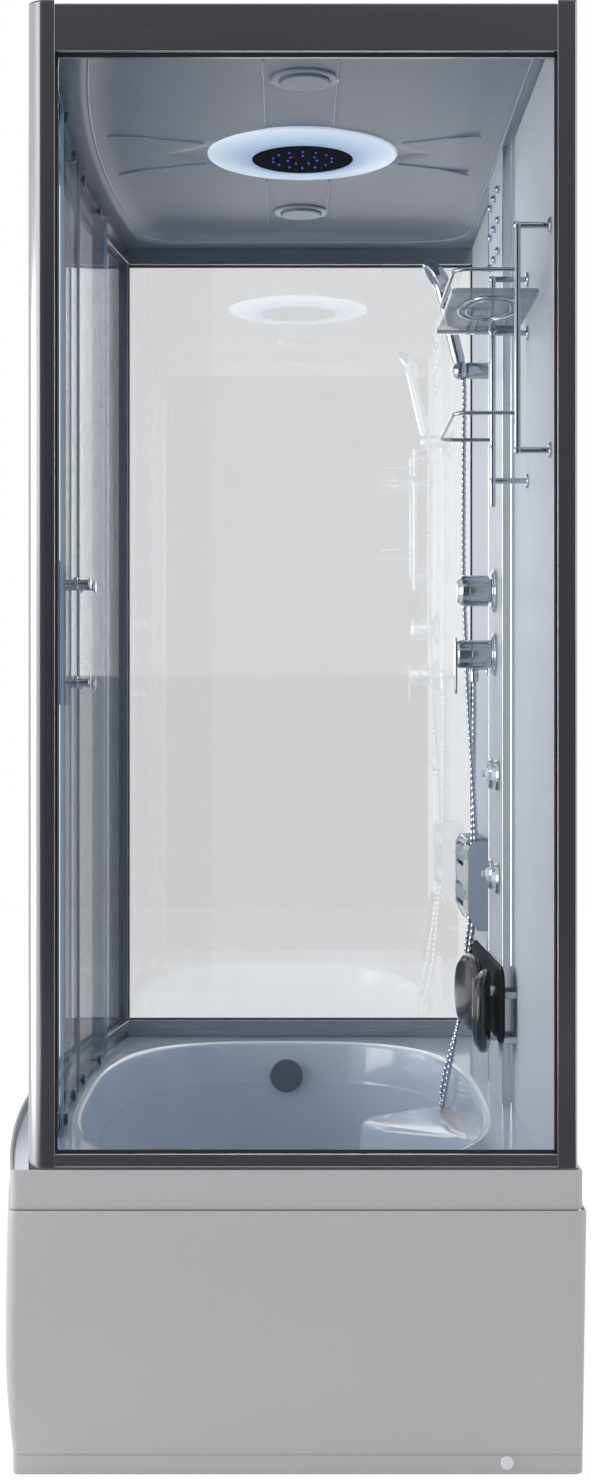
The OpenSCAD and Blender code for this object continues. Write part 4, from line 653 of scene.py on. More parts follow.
class CABIN_OT_bath(bpy.types.Operator):
    """Acrylic bath: skirt, lip and deck run into the basin with its moulded seat"""
    bl_idname = "cabin.bath"
    bl_label = "Bath"

    def execute(self, context):
        s = context.scene.cabin_bath
        seat, floor, t = s.seat_z / MM, s.floor_z / MM, s.wall / MM
        outline = plan(0)
        rays = np.unwrap(np.arctan2(outline[:, 1] - BASIN_CY, outline[:, 0]))
        lip = rounded([(6, 387.6), (6, LIP_Z), (11, LIP_Z), (12.5, DECK_Z)], [0, 3, 2, 0], 5, closed=False)
        rim = [(6 + t, DECK_Z - t), (6 + t, 387.3 + t), (11.3 + t, 387.3), (11.3 + t, 362.3), (11.3, 362.3),
               (11.3, 387.3), (6.4, 387.3)] + [tuple(v) for v in lip] + [(13.5, DECK_Z)]
        upper = smooth_rows([(between(seat, DECK_Z, k), i, q) for k, i, q in ABOVE_SEAT], 7)
        edge = [(between(floor, seat, k), i, q) for k, i, q in SEAT_EDGE]
        lower = smooth_rows([(between(floor, seat, k), i, q) for k, i, q in BELOW_SEAT], 7)
        steps = np.concatenate([upper, edge, lower])
        inner = [level(basin(rays, i, q), z) for z, i, q in steps]
        under = [level(basin(rays, i - t, q), z - t) for z, i, q in steps[::-3]]
        centre = np.broadcast_to(np.array([0.0, -20.0, floor]), inner[-1].shape)
        inner += [inner[-1] * (1 - k) + centre * k for k in (0.5, 1.0)]
        under = [under[0] * (1 - k) + (centre - [0, 0, t]) * k for k in (1.0, 0.5)] + under
        outer = [level(plan(i), z) for i, z in rim]
        outside = finish("Skirt acrylic", as_tone(s.outside), 0.3, drift=0.01, spec=0.4)
        inside = finish("Basin acrylic", as_tone(s.inside), 0.16, coat=0.4, drift=0.03)
        skin = [(grid(np.array(under + outer), wrap_v=True), outside),
                (grid(np.array([outer[-1]] + inner), wrap_v=True), inside)]
        bath = piece("bath_shell", skin, "cabin", ["tub_shell"], sharp=38, weighted=False)
        punch(bath, [rod((DRAIN_X, DRAIN_Y, 80), (DRAIN_X, DRAIN_Y, 110), 25, 48),
                     rod((-650, OVERFLOW_Y, OVERFLOW_Z), (-590, OVERFLOW_Y, OVERFLOW_Z), 24.3, 48)])
        return {"FINISHED"}


def punch(o, cutters):
    """Applies the piece's modifiers and takes the cutters away from it."""
    tools = []
    for points, faces in cutters:
        mesh = bpy.data.meshes.new("cutter")
        mesh.from_pydata((points * MM).tolist(), [], face_list(faces))
        bm = bmesh.new()
        bm.from_mesh(mesh)
        bmesh.ops.remove_doubles(bm, verts=bm.verts, dist=1e-6)
        bmesh.ops.recalc_face_normals(bm, faces=bm.faces)
        bm.to_mesh(mesh)
        bm.free()
        tool = bpy.data.objects.new("cutter", mesh)
        bpy.context.scene.collection.objects.link(tool)
        m = o.modifiers.new("Hole", "BOOLEAN")
        m.operation = "DIFFERENCE"
        m.object = tool
        m.solver = "EXACT"
        tools.append(tool)
    bpy.context.view_layer.update()
    made = bpy.data.meshes.new_from_object(o.evaluated_get(bpy.context.evaluated_depsgraph_get()))
    o.modifiers.clear()
    o.data = made
    for tool in tools:
        bpy.data.objects.remove(tool)


# Trim of an apron panel's skin from its foot to its top: height and inset
APRON_TRIM = [(2, 3), (2.4, 1.8), (3.4, 0.6), (5, 0), (29.8, 0), (30.4, 1.1), (31.5, 1.5), (32.6, 1.1),
              (33.2, 0), (383, 0), (384.8, 0.4), (386.1, 1.2), (386.8, 2.2), (APRON_TOP, 3.2)]
FOOT_Z = 33
WAIST_Z = 180
APRON_END_Y = 432
APRON_TUCK = 11
APRON_SWELL = 4
APRON_LEAN = 6
APRON_WALL = 4


def apron_rows():
    """Levels of an apron panel, its inset along the bow, and its inset along an end, from the foot up."""
    at, inset = np.array(APRON_TRIM).T
    z = np.concatenate([at[:9], np.linspace(36, 383, 40), at[10:]])
    edge = np.interp(z, at, inset)
    below = APRON_TUCK * ((WAIST_Z - z) / (WAIST_Z - FOOT_Z)) ** 2
    above = APRON_SWELL * ((z - WAIST_Z) / (APRON_TOP - WAIST_Z)) ** 2
    bowed = np.where(z < FOOT_Z, APRON_TUCK, np.where(z < WAIST_Z, below, above))
    return z, bowed + edge, APRON_LEAN * (1 - z / APRON_TOP) + edge


def end_skin(z, bowed, ended):
    """Skin of one end panel, from its seam on the bow round both corners to its edge on the back wall."""
    cx, cr, n, m = HALF_LENGTH - BATH_CORNER, BATH_CORNER, 14, 12
    phi = math.asin(cx / (APRON_R - cr))
    fy = BOW_CY - (APRON_R - cr) * math.cos(phi)
    f = np.concatenate([[1], 1 - np.linspace(0, 1, n + 1), np.zeros(n + 2 + m)])
    d = f[None] * bowed[:, None] + (1 - f[None]) * ended[:, None]
    a = (phi - math.pi / 2) * (1 - np.linspace(0, 1, n + 1))
    b = np.linspace(0, math.pi / 2, n + 1)
    sa = 728.2 / APRON_R
    r = APRON_R - d[:, :1]
    seam = np.stack([r * sa, BOW_CY - r * math.sqrt(1 - sa * sa)], -1)
    q = cr - d[:, 1:n + 2]
    corner = np.stack([cx + q * np.cos(a), fy + q * np.sin(a)], -1)
    q = d[:, n + 2:n + 2 + m]
    run = fy + (APRON_END_Y - fy) * np.arange(1, m + 1)[None] / (m + 1)
    side = np.stack([HALF_LENGTH - q, run + 0 * q], -1)
    q = cr - d[:, n + 2 + m:2 * n + 3 + m]
    rear = np.stack([cx + q * np.cos(b), APRON_END_Y + q * np.sin(b)], -1)
    end = np.stack([706 + 0 * d[:, :1], BATH_BACK - d[:, -1:]], -1)
    rows = np.concatenate([seam, corner, side, rear, end], 1)
    return grid(np.concatenate([rows, np.broadcast_to(z[:, None, None], rows.shape[:2] + (1,))], -1))


class CABIN_OT_aprons(bpy.types.Operator):
    """Bowed front apron, the two end panels that wrap the corners, and their screw caps"""
    bl_idname = "cabin.aprons"
    bl_label = "Aprons"

    def execute(self, context):
        s = context.scene.cabin_bath
        skin = finish("Apron plastic", as_tone(s.outside), 0.32, drift=0.01, spec=0.4)
        z, bowed, ended = apron_rows()
        x = np.linspace(-727.8, 727.8, 121)
        y = BOW_CY - np.sqrt((APRON_R - bowed[:, None]) ** 2 - x[None] ** 2)
        front = grid(np.stack(np.broadcast_arrays(x[None], y, z[:, None]), -1))
        wraps = [(p, skin) for p in both(end_skin(z, bowed, ended))]
        for name, parts, node in (("front_apron_skin", [(front, skin)], "front_apron"),
                                  ("end_apron_skins", wraps, "end_aprons")):
            panel = piece(name, parts, "cabin", [node], sharp=40, outward=False,
                          weighted=False)
            thicken(panel, APRON_WALL)
        cap_y, cap_z = 333, 20
        lean = APRON_LEAN * (1 - cap_z / APRON_TOP)
        cap = turned([(0, -12), (3, -12), (3, 0.2), (10, 0.2), (10, 1.6), (7.5, 2.5), (0, 2.7)],
                     [0, 0, 0, 0.3, 0.6, 2, 0], (HALF_LENGTH - lean, cap_y, cap_z), (1, 0, 0), 48)
        plastic = finish("Cap plastic", (214, 214, 216), 0.25)
        piece("screw_covers", [(p, plastic) for p in both(cap)], "cabin", ["apron_screw_caps"])
        return {"FINISHED"}


def thicken(o, wall):
    """Gives an open skin its wall, inward from faces that look out."""
    bm = bmesh.new()
    bm.from_mesh(o.data)
    bmesh.ops.recalc_face_normals(bm, faces=bm.faces)
    bm.faces.ensure_lookup_table()
    side = max(bm.faces, key=lambda f: abs(f.calc_center_median().x) - f.calc_center_median().y)
    out = np.array(side.calc_center_median()) * [1, 1, 0] - np.array([0, 0.2, 0])
    if np.array(side.normal) @ out < 0:
        bmesh.ops.reverse_faces(bm, faces=bm.faces)
    bm.to_mesh(o.data)
    bm.free()
    m = o.modifiers.new("Wall", "SOLIDIFY")
    m.thickness = wall * MM
    m.offset = -1


class CABIN_OT_drain(bpy.types.Operator):
    """Waste, plug and the turning disc of the overflow"""
    bl_idname = "cabin.drain"
    bl_label = "Drain and overflow"

    def execute(self, context):
        c = chrome()
        dark = finish("Overflow disc", (86, 96, 108), 0.24, drift=0.04, coat=0.3)
        drain = (DRAIN_X, DRAIN_Y, 0)
        lip = rounded([(21.7, 61), (24.7, 61), (24.7, 95.05), (35, 95.05), (34, 97), (28, 97.5),
                       (21.7, 97.5)], [0, 0, 0, 0.6, 1, 1, 0.5], 3)
        piece("waste_flange", [(lathe(lip, drain, segs=80, ring=True), c)], "cabin")
        plug = turned([(0, 97.9), (25, 97.9), (27, 99.4), (24, 101.6), (0, 102.3)], [0, 0.4, 1, 4, 0],
                      drain, segs=80)
        stem = rod((DRAIN_X, DRAIN_Y, 61.5), (DRAIN_X, DRAIN_Y, 98.5), 3)
        piece("waste_plug", [(plug, c), (stem, c)], "drain_plug", ["drain_plug"])
        x = -611.5
        disc = turned([(0, 0.3), (31, 0.3), (34, 2.5), (34, 7.5), (32.2, 9), (14, 9.3), (0, 9.3)],
                      [0, 0.5, 1, 1.2, 1.2, 3, 0], (x, OVERFLOW_Y, OVERFLOW_Z), (1, 0, 0), 96)
        spindle = rod((-628, OVERFLOW_Y, OVERFLOW_Z), (x + 1, OVERFLOW_Y, OVERFLOW_Z), 5)
        piece("overflow_disc", [(disc, dark), (spindle, dark)], "overflow_knob",
              ["overflow_knob"])
        dress(c, "drain_waste")
        dress(finish("Drain plastic", (222, 222, 218), 0.45, grain=0.1), "waste_trap")
        return {"FINISHED"}


def drawn_metal(name, tint, rough, stretch):
    """Metal with fine drawn lines, which run along the axis whose stretch is small."""
    return finish(name, as_tone(tint), rough, 1.0, 0.03, 20.0, 0.02, 700.0, stretch)


def post_metal():
    """Satin metal of the posts, drawn along the height."""
    return drawn_metal("Dark anodised", bpy.context.scene.cabin_frame.dark, 0.17, (1, 1, 0.02))


def rail_metal():
    """Satin metal of the curved rails, drawn along them."""
    return drawn_metal("Dark rail", bpy.context.scene.cabin_frame.dark, 0.24, (0.02, 1, 1))


def cross_metal(name, tint):
    """Satin metal of the end beams and sills, drawn across the cabin."""
    return drawn_metal(name, tint, 0.19, (1, 0.02, 1))


def bright_metal():
    """Bright metal of the column's trims, drawn along the height."""
    return drawn_metal("Plain aluminium", bpy.context.scene.cabin_frame.bright, 0.16, (1, 1, 0.02))


def across(profile):
    """A profile of x and height carried along an end of the cabin, between its two posts."""
    x, z = profile.T
    return capped(np.stack([np.column_stack([x, np.full(len(x), y), z]) for y in (-325.5, 407.7)]))


def post_parts(metal, cap):
    """Front and rear posts of both ends, each with its cap."""
    fy, deep, bend_r, gap = FRONT_Y, 6, 26, 0.4
    post_front = fy - 41
    g0, g1 = END_X - GROOVE_HALF, END_X + GROOVE_HALF
    front = rounded([(POST_IN, post_front), (POST_OUT, post_front), (POST_OUT, fy), (g1, fy), (g1, fy - deep),
                     (g0, fy - deep), (g0, fy), (POST_IN, fy)], [1.2, bend_r, 1, 0.4, 0, 0, 0.4, 0.8], 16)
    rear = rounded([(POST_IN, WALL_Y), (g0, WALL_Y), (g0, WALL_Y + deep), (g1, WALL_Y + deep), (g1, WALL_Y),
                    (POST_OUT, WALL_Y), (POST_OUT, POST_BACK), (POST_IN, POST_BACK)],
                   [0.8, 0.4, 0, 0, 0.4, 1, 4, 1], 6)
    x0, x1, y0, y1 = POST_IN + gap, POST_OUT - gap, post_front + gap, fy - gap
    front_lid = rounded([(x0, y0), (x1, y0), (x1, y1), (x0, y1)], [2, bend_r, 2, 2], 12)
    y0, y1 = WALL_Y + gap, POST_BACK - gap
    rear_lid = rounded([(x0, y0), (x1, y0), (x1, y1), (x0, y1)], [2, 2, 4, 2], 4)
    top = CABIN_H - 2.2
    parts = []
    for outline in (front, rear):
        parts += [(p, metal) for p in both(plate(outline, DECK_Z, top, 0.3, 2))]
    for outline in (front_lid, rear_lid):
        parts += [(p, cap) for p in both(plate(outline, top, CABIN_H, 0.8, 3))]
    return parts


def end_seals(rubber):
    """Thin lips on both faces of the end panes, along the beam, the sill and the posts."""
    parts = []
    y0, y1 = -324.5, 406.7
    for x0, x1 in ((710.7, 711.8), (718.2, 719.3)):
        parts += both(block((x0, y0, 465.5), (x1, y1, 468.6), 0.4, axis=1))
        parts += both(block((x0, y0, 2073.6), (x1, y1, 2076.5), 0.4, axis=1))
        parts += both(block((x0, FRONT_Y - 0.4, 468), (x1, FRONT_Y + 2.4, 2074), 0.3))
        parts += both(block((x0, WALL_Y - 2.4, 468), (x1, WALL_Y + 0.4, 2074), 0.3))
    return [(p, rubber) for p in parts]


def bow_seals(rubber):
    """Thin lips on both faces of the fixed front panes, along the two rails."""
    parts = []
    for lo, hi in ((5010.8, 5011.8), (5018.2, 5019.2)):
        for z in (466.2, 2073.8):
            lip = [(lo, z - 0.7), (hi, z - 0.7), (hi, z + 2.2), (lo, z + 2.2)]
            parts += both(bow(lip, 396, 694, 33))
    return [(p, rubber) for p in parts]


class CABIN_OT_frame(bpy.types.Operator):
    """Posts with end caps, curved rails, end beams and sills, and the seals along their glass"""
    bl_idname = "cabin.frame"
    bl_label = "Frame"

    def execute(self, context):
        s = context.scene.cabin_frame
        rubber = finish("Glazing seal", (36, 38, 42), 0.55, grain=0.1)
        piece("posts", post_parts(post_metal(), finish("Post cap", (40, 40, 42), 0.4)), "cabin",
              ["corner_posts"])
        g0, g1 = FIXED_R - GROOVE_HALF, FIXED_R + GROOVE_HALF
        track, z0, z1 = 5008.5, 433, 450
        low = rounded([(RAIL_IN, DECK_Z), (RAIL_OUT, DECK_Z), (RAIL_OUT, SILL_TOP), (g1, SILL_TOP),
                       (g1, SILL_GROOVE), (g0, SILL_GROOVE), (g0, SILL_TOP), (RAIL_IN, SILL_TOP),
                       (RAIL_IN, z1), (track, z1), (track, z0), (RAIL_IN, z0)],
                      [0.4, 2, 3, 0.4, 0, 0, 0.4, 1.5, 0.5, 0, 0, 0.5], 3)
        z0, z1 = 2085.2, 2109.2
        high = rounded([(RAIL_IN, BEAM_LOW), (g0, BEAM_LOW), (g0, BEAM_GROOVE), (g1, BEAM_GROOVE),
                        (g1, BEAM_LOW), (RAIL_OUT, BEAM_LOW), (RAIL_OUT, BEAM_TOP), (RAIL_IN, BEAM_TOP),
                        (RAIL_IN, z1), (track, z1), (track, z0), (RAIL_IN, z0)],
                       [1.5, 0.4, 0, 0, 0.4, 3, 2, 1, 0.5, 0, 0, 0.5], 3)
        for name, profile, node in (("bottom_rail_profile", low, "front_bottom_rail"),
                                    ("top_rail_profile", high, "front_top_rail")):
            rail = (bow(profile, -INSIDE_X, INSIDE_X), rail_metal())
            piece(name, [rail], "cabin", [node])
        g0, g1 = END_X - GROOVE_HALF, END_X + GROOVE_HALF
        beam = rounded([(POST_IN, BEAM_LOW), (g0, BEAM_LOW), (g0, BEAM_GROOVE), (g1, BEAM_GROOVE),
                        (g1, BEAM_LOW), (BEAM_OUT, BEAM_LOW), (BEAM_OUT, BEAM_TOP), (POST_IN, BEAM_TOP)],
                       [1, 0.4, 0, 0, 0.4, 2.5, 2.5, 1], 3)
        x0, x1 = POST_IN + 2, BEAM_OUT - 2
        sill = rounded([(POST_IN, DECK_Z), (BEAM_OUT, DECK_Z), (BEAM_OUT, SILL_STEP), (x1, SILL_STEP),
                        (x1, SILL_TOP), (g1, SILL_TOP), (g1, SILL_GROOVE), (g0, SILL_GROOVE), (g0, SILL_TOP),
                        (x0, SILL_TOP), (x0, SILL_STEP), (POST_IN, SILL_STEP)],
                       [0.4, 1.5, 1, 0.3, 2, 0.4, 0, 0, 0.4, 1, 0.3, 0.6], 3)
        beams = [(p, cross_metal("Dark beam", s.dark)) for p in both(across(beam))]
        sills = [(p, cross_metal("Sill metal", s.sill)) for p in both(across(sill))]
        piece("end_beam_profiles", beams, "cabin", ["end_beams"])
        piece("end_sill_profiles", sills, "cabin", ["end_sills"])
        overlap = finish("Overlap seal", (120, 128, 140), 0.4, grain=0.1, alpha=0.9)
        r0, r1, z0, z1 = 4998.6, 5012.2, 468, 2074
        strip = rounded([(r0, z0), (r1, z0), (r1, z1), (r0, z1)], [1.2, 0.3, 0.3, 1.2], 3)
        strips = [(p, overlap) for p in both(bow(strip, 396, 399.5, 5))]
        piece("glazing_seals", end_seals(rubber) + bow_seals(rubber) + strips, "cabin")
        zinc = finish("Galvanised frame", (96, 98, 102), 0.5, 0.8, 0.12, 30.0, 0.2)
        dress(zinc, "support_frame", "levelling_feet")
        return {"FINISHED"}


def glass():
    """Clear pane of the near end."""
    s = bpy.context.scene.cabin_frame
    return glass_finish("Clear glass", as_tone(s.glass), s.clarity)


def bowed_glass():
    """Clear pane of the bow, whose tint gathers along it toward flat views; the tint is darker than the end
    panes' as painted shade for the bow's almost edge-on view.
    """
    s = bpy.context.scene.cabin_frame
    return glass_finish("Bowed glass", as_tone(s.door_glass), s.clarity, rise=0.75)


def bright_glass():
    """Pane of the far end, whose faces mirror the cabin."""
    s = bpy.context.scene.cabin_frame
    return glass_finish("Mirroring glass", (244, 246, 248), s.mirror, 0.01, 0.1, 1.0)


def glass_edge():
    """Polished edge of a pane, where the glass shows its own colour."""
    s = bpy.context.scene.cabin_frame
    return finish("Glass edge", as_tone(s.glass_edge), 0.12, drift=0.04, alpha=0.75, spec=0.7)


def pane_edges(o):
    """Gives the edge finish to the narrow faces of a pane, except where a post hides its end."""
    count = len(o.data.polygons)
    n = np.zeros(count * 3)
    c = np.zeros(count * 3)
    o.data.polygons.foreach_get("normal", n)
    o.data.polygons.foreach_get("center", c)
    n, c = n.reshape(-1, 3), c.reshape(-1, 3)
    out = np.stack([c[:, 0], c[:, 1] - BOW_CY * MM], 1)
    out = out / np.linalg.norm(out, axis=1, keepdims=True)
    flat = np.abs(n[:, 0]) if o.name.startswith("end") else np.abs((n[:, :2] * out).sum(1))
    kind = np.zeros(count, int)
    o.data.polygons.foreach_get("material_index", kind)
    kind[(flat < 0.8) & (np.abs(c[:, 0]) < POST_IN * MM - 0.004)] = len(o.data.materials)
    o.data.materials.append(glass_edge())
    o.data.polygons.foreach_set("material_index", kind)
    o.data.update()


class CABIN_OT_panes(bpy.types.Operator):
    """End panes, fixed front panes and the two sliding leaves, with polished edges"""
    bl_idname = "cabin.panes"
    bl_label = "Glass"

    def execute(self, context):
        edge = 0.7
        x0, x1 = END_X - GLASS_HALF, END_X + GLASS_HALF
        pane = block((x0, FRONT_Y - 5, PANE_LOW), (x1, WALL_Y + 5, PANE_HIGH), edge, edge, 2, 2)
        ends = [(pane, glass()), (flipped(pane), bright_glass())]
        pane_edges(piece("end_panes", ends, "cabin", ["end_glasses"], sharp=12, weighted=False))
        r0, r1 = FIXED_R - GLASS_HALF, FIXED_R + GLASS_HALF
        profile = rounded([(r0, PANE_LOW), (r1, PANE_LOW), (r1, PANE_HIGH), (r0, PANE_HIGH)], edge, 2)
        fixed = [(p, bowed_glass()) for p in both(bow(profile, 395, INSIDE_X, 61))]
        pane_edges(piece("fixed_panes", fixed, "cabin", ["fixed_glasses"], sharp=12, weighted=False))
        r0, r1 = SLIDE_R - GLASS_HALF, SLIDE_R + GLASS_HALF
        profile = rounded([(r0, LEAF_LOW), (r1, LEAF_LOW), (r1, LEAF_HIGH), (r0, LEAF_HIGH)], edge, 2)
        places = [(x, z) for z in (ROLLER_Z, SHOE_Z) for x in HANGER_XS]
        places += [(HANDLE_X, z) for z in HANDLE_ZS[::-1]]
        for side, name in ((-1, "left"), (1, "right")):
            leaf = sided(bow(profile, 3, 415, 81), side)
            o = piece("door_" + name + "_leaf", [(leaf, bowed_glass())], "door_" + name,
                      ["door_glass_" + name], sharp=12, weighted=False)
            punch(o, [slide_part(rod((0, 0, -8), (0, 0, 8), 4.5, 32), side * x, z) for x, z in places])
            pane_edges(o)
        return {"FINISHED"}


def seal_parts(side, rubber):
    """Meeting seal of one leaf: the strip that grips the glass and the fin that meets the other leaf."""
    r0, r1 = SLIDE_R - 5, SLIDE_R + 4
    strip = rounded([(r0, LEAF_LOW), (r1, LEAF_LOW), (r1, LEAF_HIGH), (r0, LEAF_HIGH)], 1, 2)
    r0, r1 = SLIDE_R - 1.6, SLIDE_R + 1.6
    z0, z1 = LEAF_LOW + 2, LEAF_HIGH - 2
    fin = rounded([(r0, z0), (r1, z0), (r1, z1), (r0, z1)], 0.6, 2)
    return [(sided(bow(strip, 2.8, 8.4, 5), side), rubber), (sided(bow(fin, 0.4, 3.0, 5), side), rubber)]


def handle_parts(side, c, steel):
    """Pull handle of one leaf: a bar outside, on two spools that a screw holds through the glass."""
    inner = turned([(0, -30), (10.2, -30), (11, -29), (11, -27.6), (7.2, -26.4), (6.6, -20), (6.6, -11),
                    (7.4, -7), (11, -6), (11, -3.1), (0, -3.1)], [0, 0.5, 0.6, 0.6, 1, 4, 4, 1, 0.5, 0.3, 0])
    outer = turned([(0, 3.1), (11, 3.1), (11, 6), (7.4, 7), (6.6, 11), (6.6, 20), (7, 27), (0, 27)],
                   [0, 0.3, 0.5, 1, 4, 3, 0, 0])
    screw = rod((0, 0, -4), (0, 0, 4), 4)
    parts = []
    for z in HANDLE_ZS:
        parts += [(slide_part(q, side * HANDLE_X, z), m) for q, m in ((inner, c), (outer, c), (screw, steel))]
    bar = turned([(0, 0), (6, 0), (8, 1.6), (8, 254.4), (6, 256), (0, 256)], [0, 1.5, 1.5, 1.5, 1.5, 0],
                 segs=48)
    bar = placed(bar, (0, 0, 26), (1, 0, 0), (0, 0, -1), (0, 1, 0))
    return parts + [(slide_part(bar, side * HANDLE_X, HANDLE_LOW), c)]


def hanger_parts(side, dark, steel):
    """Hangers of one leaf: caps inside, axles and washers for the rollers above, and shoes below."""
    cap = turned([(0, -7), (8.6, -7), (10, -5.8), (10, -3.1), (0, -3.1)], [0, 0.8, 0.8, 0.4, 0])
    dimple = turned([(0, -7.2), (2.2, -7.2), (2.6, -6.9), (0, -6.9)], [0, 0.2, 0, 0], segs=24)
    fittings = [(cap, dark, ROLLER_Z), (dimple, steel, ROLLER_Z),
                (cap, dark, SHOE_Z), (dimple, steel, SHOE_Z),
                (rod((0, 0, -4), (0, 0, 13.8), 4), steel, ROLLER_Z),
                (rod((0, 0, 3), (0, 0, 5.2), 5.5), dark, ROLLER_Z),
                (rod((0, 0, -4), (0, 0, 6), 4), steel, SHOE_Z),
                (block((-10, -7, 5.5), (10, 7, 13.5), 1.2, 2.5), dark, SHOE_Z)]
    return [(slide_part(q, side * x, z), m) for x in HANGER_XS for q, m, z in fittings]


class CABIN_OT_doors(bpy.types.Operator):
    """Meeting seals, handles, hangers with their caps and shoes, and the rollers"""
    bl_idname = "cabin.doors"
    bl_label = "Door fittings"

    def execute(self, context):
        c = chrome()
        rubber = finish("Meeting seal", (120, 128, 140), 0.4, grain=0.1, alpha=0.85)
        dark = finish("Hanger plastic", (52, 60, 84), 0.35, coat=0.2)
        steel = finish("Axle steel", (150, 154, 160), 0.28, 1.0)
        for side, name in ((-1, "left"), (1, "right")):
            body = "door_" + name
            piece("meeting_seal_" + name, seal_parts(side, rubber), body,
                  ["door_seal_" + name])
            piece("pull_handle_" + name, handle_parts(side, c, steel), body,
                  ["door_handle_" + name])
            piece("hanger_set_" + name, hanger_parts(side, dark, steel), body,
                  ["door_hangers_" + name])
        tyre = rounded([(4.05, 5.5), (9.8, 5.5), (11.5, 6.4), (11.5, 7.6), (10, 8.6), (10, 10.4),
                        (11.5, 11.4), (11.5, 12.6), (9.8, 13.5), (4.05, 13.5)],
                       [0.2, 0.6, 0.6, 0.4, 0.6, 0.6, 0.4, 0.6, 0.6, 0.2], 3)
        wheel = lathe(tyre, segs=72, ring=True)
        for k, x in enumerate([-x for x in HANGER_XS[::-1]] + list(HANGER_XS), 1):
            piece(f"wheel_{k}", [(slide_part(wheel, x, ROLLER_Z), dark)], f"roller_{k}",
                  [f"door_roller_{k}"])
        return {"FINISHED"}


class CABIN_OT_back_wall(bpy.types.Operator):
    """Wall panels, the service column with its trims, and its small nozzles"""
    bl_idname = "cabin.back_wall"
    bl_label = "Back wall"

    def execute(self, context):
        s = context.scene.cabin_service
        dress(finish("Wall panel", as_tone(s.panel), 0.5, drift=0.01, spec=0.3), "back_panels")
        dress(finish("Column front", as_tone(s.column), 0.4, drift=0.01, spec=0.4), "column_panel")
        bright = bright_metal()
        trim = rounded([(-4, 387), (4, 387), (4, 392), (2.6, 393.4), (2.6, 411), (4, 413), (-4, 413),
                        (-4, 402.5), (-3.2, 401.5), (-3.2, 398.5), (-4, 397.5)],
                       [1.4, 1.4, 0.6, 0.4, 0.4, 0, 0.6, 0.3, 0.3, 0.3, 0.3], 3)
        parts = [(placed(plate(trim, DECK_Z, 2100, 0.3, 1), (x, 0, 0), (k, 0, 0)), bright)
                 for x, k in ((-116, 1), (140, -1))]
        piece("column_edges", parts, "cabin", ["column_trims"])
        spout = [(1.5, -26), (4, -26), (4, 0.2), (7, 0.2), (7, 4), (5.6, 6.4), (3.5, 8), (1.5, 8), (1.5, 3)]
        edges = [0, 0, 0, 0.5, 1.4, 1.4, 0.6, 0.3, 0]
        parts = [(turned(spout, edges, (x, COLUMN_Y, z), OUT_OF_WALL, 48), chrome())
                 for x in (-58, 12, 82) for z in (2039, 1984.5, 1930)]
        piece("nozzle_set", parts, "cabin", ["column_nozzles"])
        dress(finish("Raw brass", (196, 168, 104), 0.38, 1.0, 0.1, 20.0), "valve_and_pipes")
        return {"FINISHED"}


class CABIN_OT_mixer(bpy.types.Operator):
    """Wall plates, temperature knob, mixer body and its lever"""
    bl_idname = "cabin.mixer"
    bl_label = "Mixer"

    def execute(self, context):
        c = chrome()
        seam = finish("Seam", (50, 56, 66), 0.4)
        at_knob, at_lever = (COLUMN_X, COLUMN_Y, KNOB_Z), (COLUMN_X, COLUMN_Y, LEVER_Z)
        rose = rounded([(9, 0), (39, 0), (39, 4), (36, 6), (33, 6.2), (33, 8), (31.5, 9), (9, 9)],
                       [0, 0.3, 1.2, 1.2, 0.3, 0.6, 0.6, 0], 4)
        plates = [(lathe(rose, at, OUT_OF_WALL, 112, True), c) for at in (at_knob, at_lever)]
        piece("mixer_wall_plates", plates, "cabin", ["escutcheons"])
        knob = turned([(0, 9.3), (22, 9.3), (22, 13.4), (28, 13.6), (28, 47), (27.3, 47.6), (27.3, 49),
                       (28, 49.6), (28, 60), (19, 69.3), (0, 69.3)],
                      [0, 0, 0.3, 0.8, 0.3, 0.2, 0.2, 0.3, 7, 8, 0], at_knob, OUT_OF_WALL, 128, 6)
        dark = turned([(20, 12.6), (22.3, 12.6), (22.3, 13.6), (20, 13.6)], 0, at_knob, OUT_OF_WALL, 96)
        mark = block((COLUMN_X - 1, 318.4, KNOB_Z + 11), (COLUMN_X + 1, 318.9, KNOB_Z + 19), 0.2)
        piece("knob", [(knob, c), (dark, seam), (mark, seam)], "temperature_knob",
              ["temperature_knob"])
        barrel = rounded([(9, 9), (25.5, 9), (25.5, 43), (9, 43)], [0, 0.6, 0.8, 0], 3)
        piece("mixer_barrel", [(lathe(barrel, at_lever, OUT_OF_WALL, 112, True), c)], "cabin",
              ["mixer_body"])
        hub = turned([(0, 43.3), (25, 43.3), (25.5, 44), (25.5, 66), (23, 69.3), (0, 69.3)],
                     [0, 0.3, 0.4, 2, 2, 0], at_lever, OUT_OF_WALL, 112)
        groove = turned([(0, 44.6), (25.56, 44.6), (25.56, 45.4), (0, 45.4)], 0, at_lever, OUT_OF_WALL, 112)
        outline = rounded([(-11, -71.4), (11, -71.4), (11, 30.6), (-11, 30.6)], 10, 10)
        blade = wall_part(plate(outline, 0, 4, 1.2, 4), COLUMN_X, 318.7, LEVER_Z)
        piece("lever", [(hub, c), (groove, seam), (blade, c)], "mixer_lever", ["mixer_lever"])
        return {"FINISHED"}


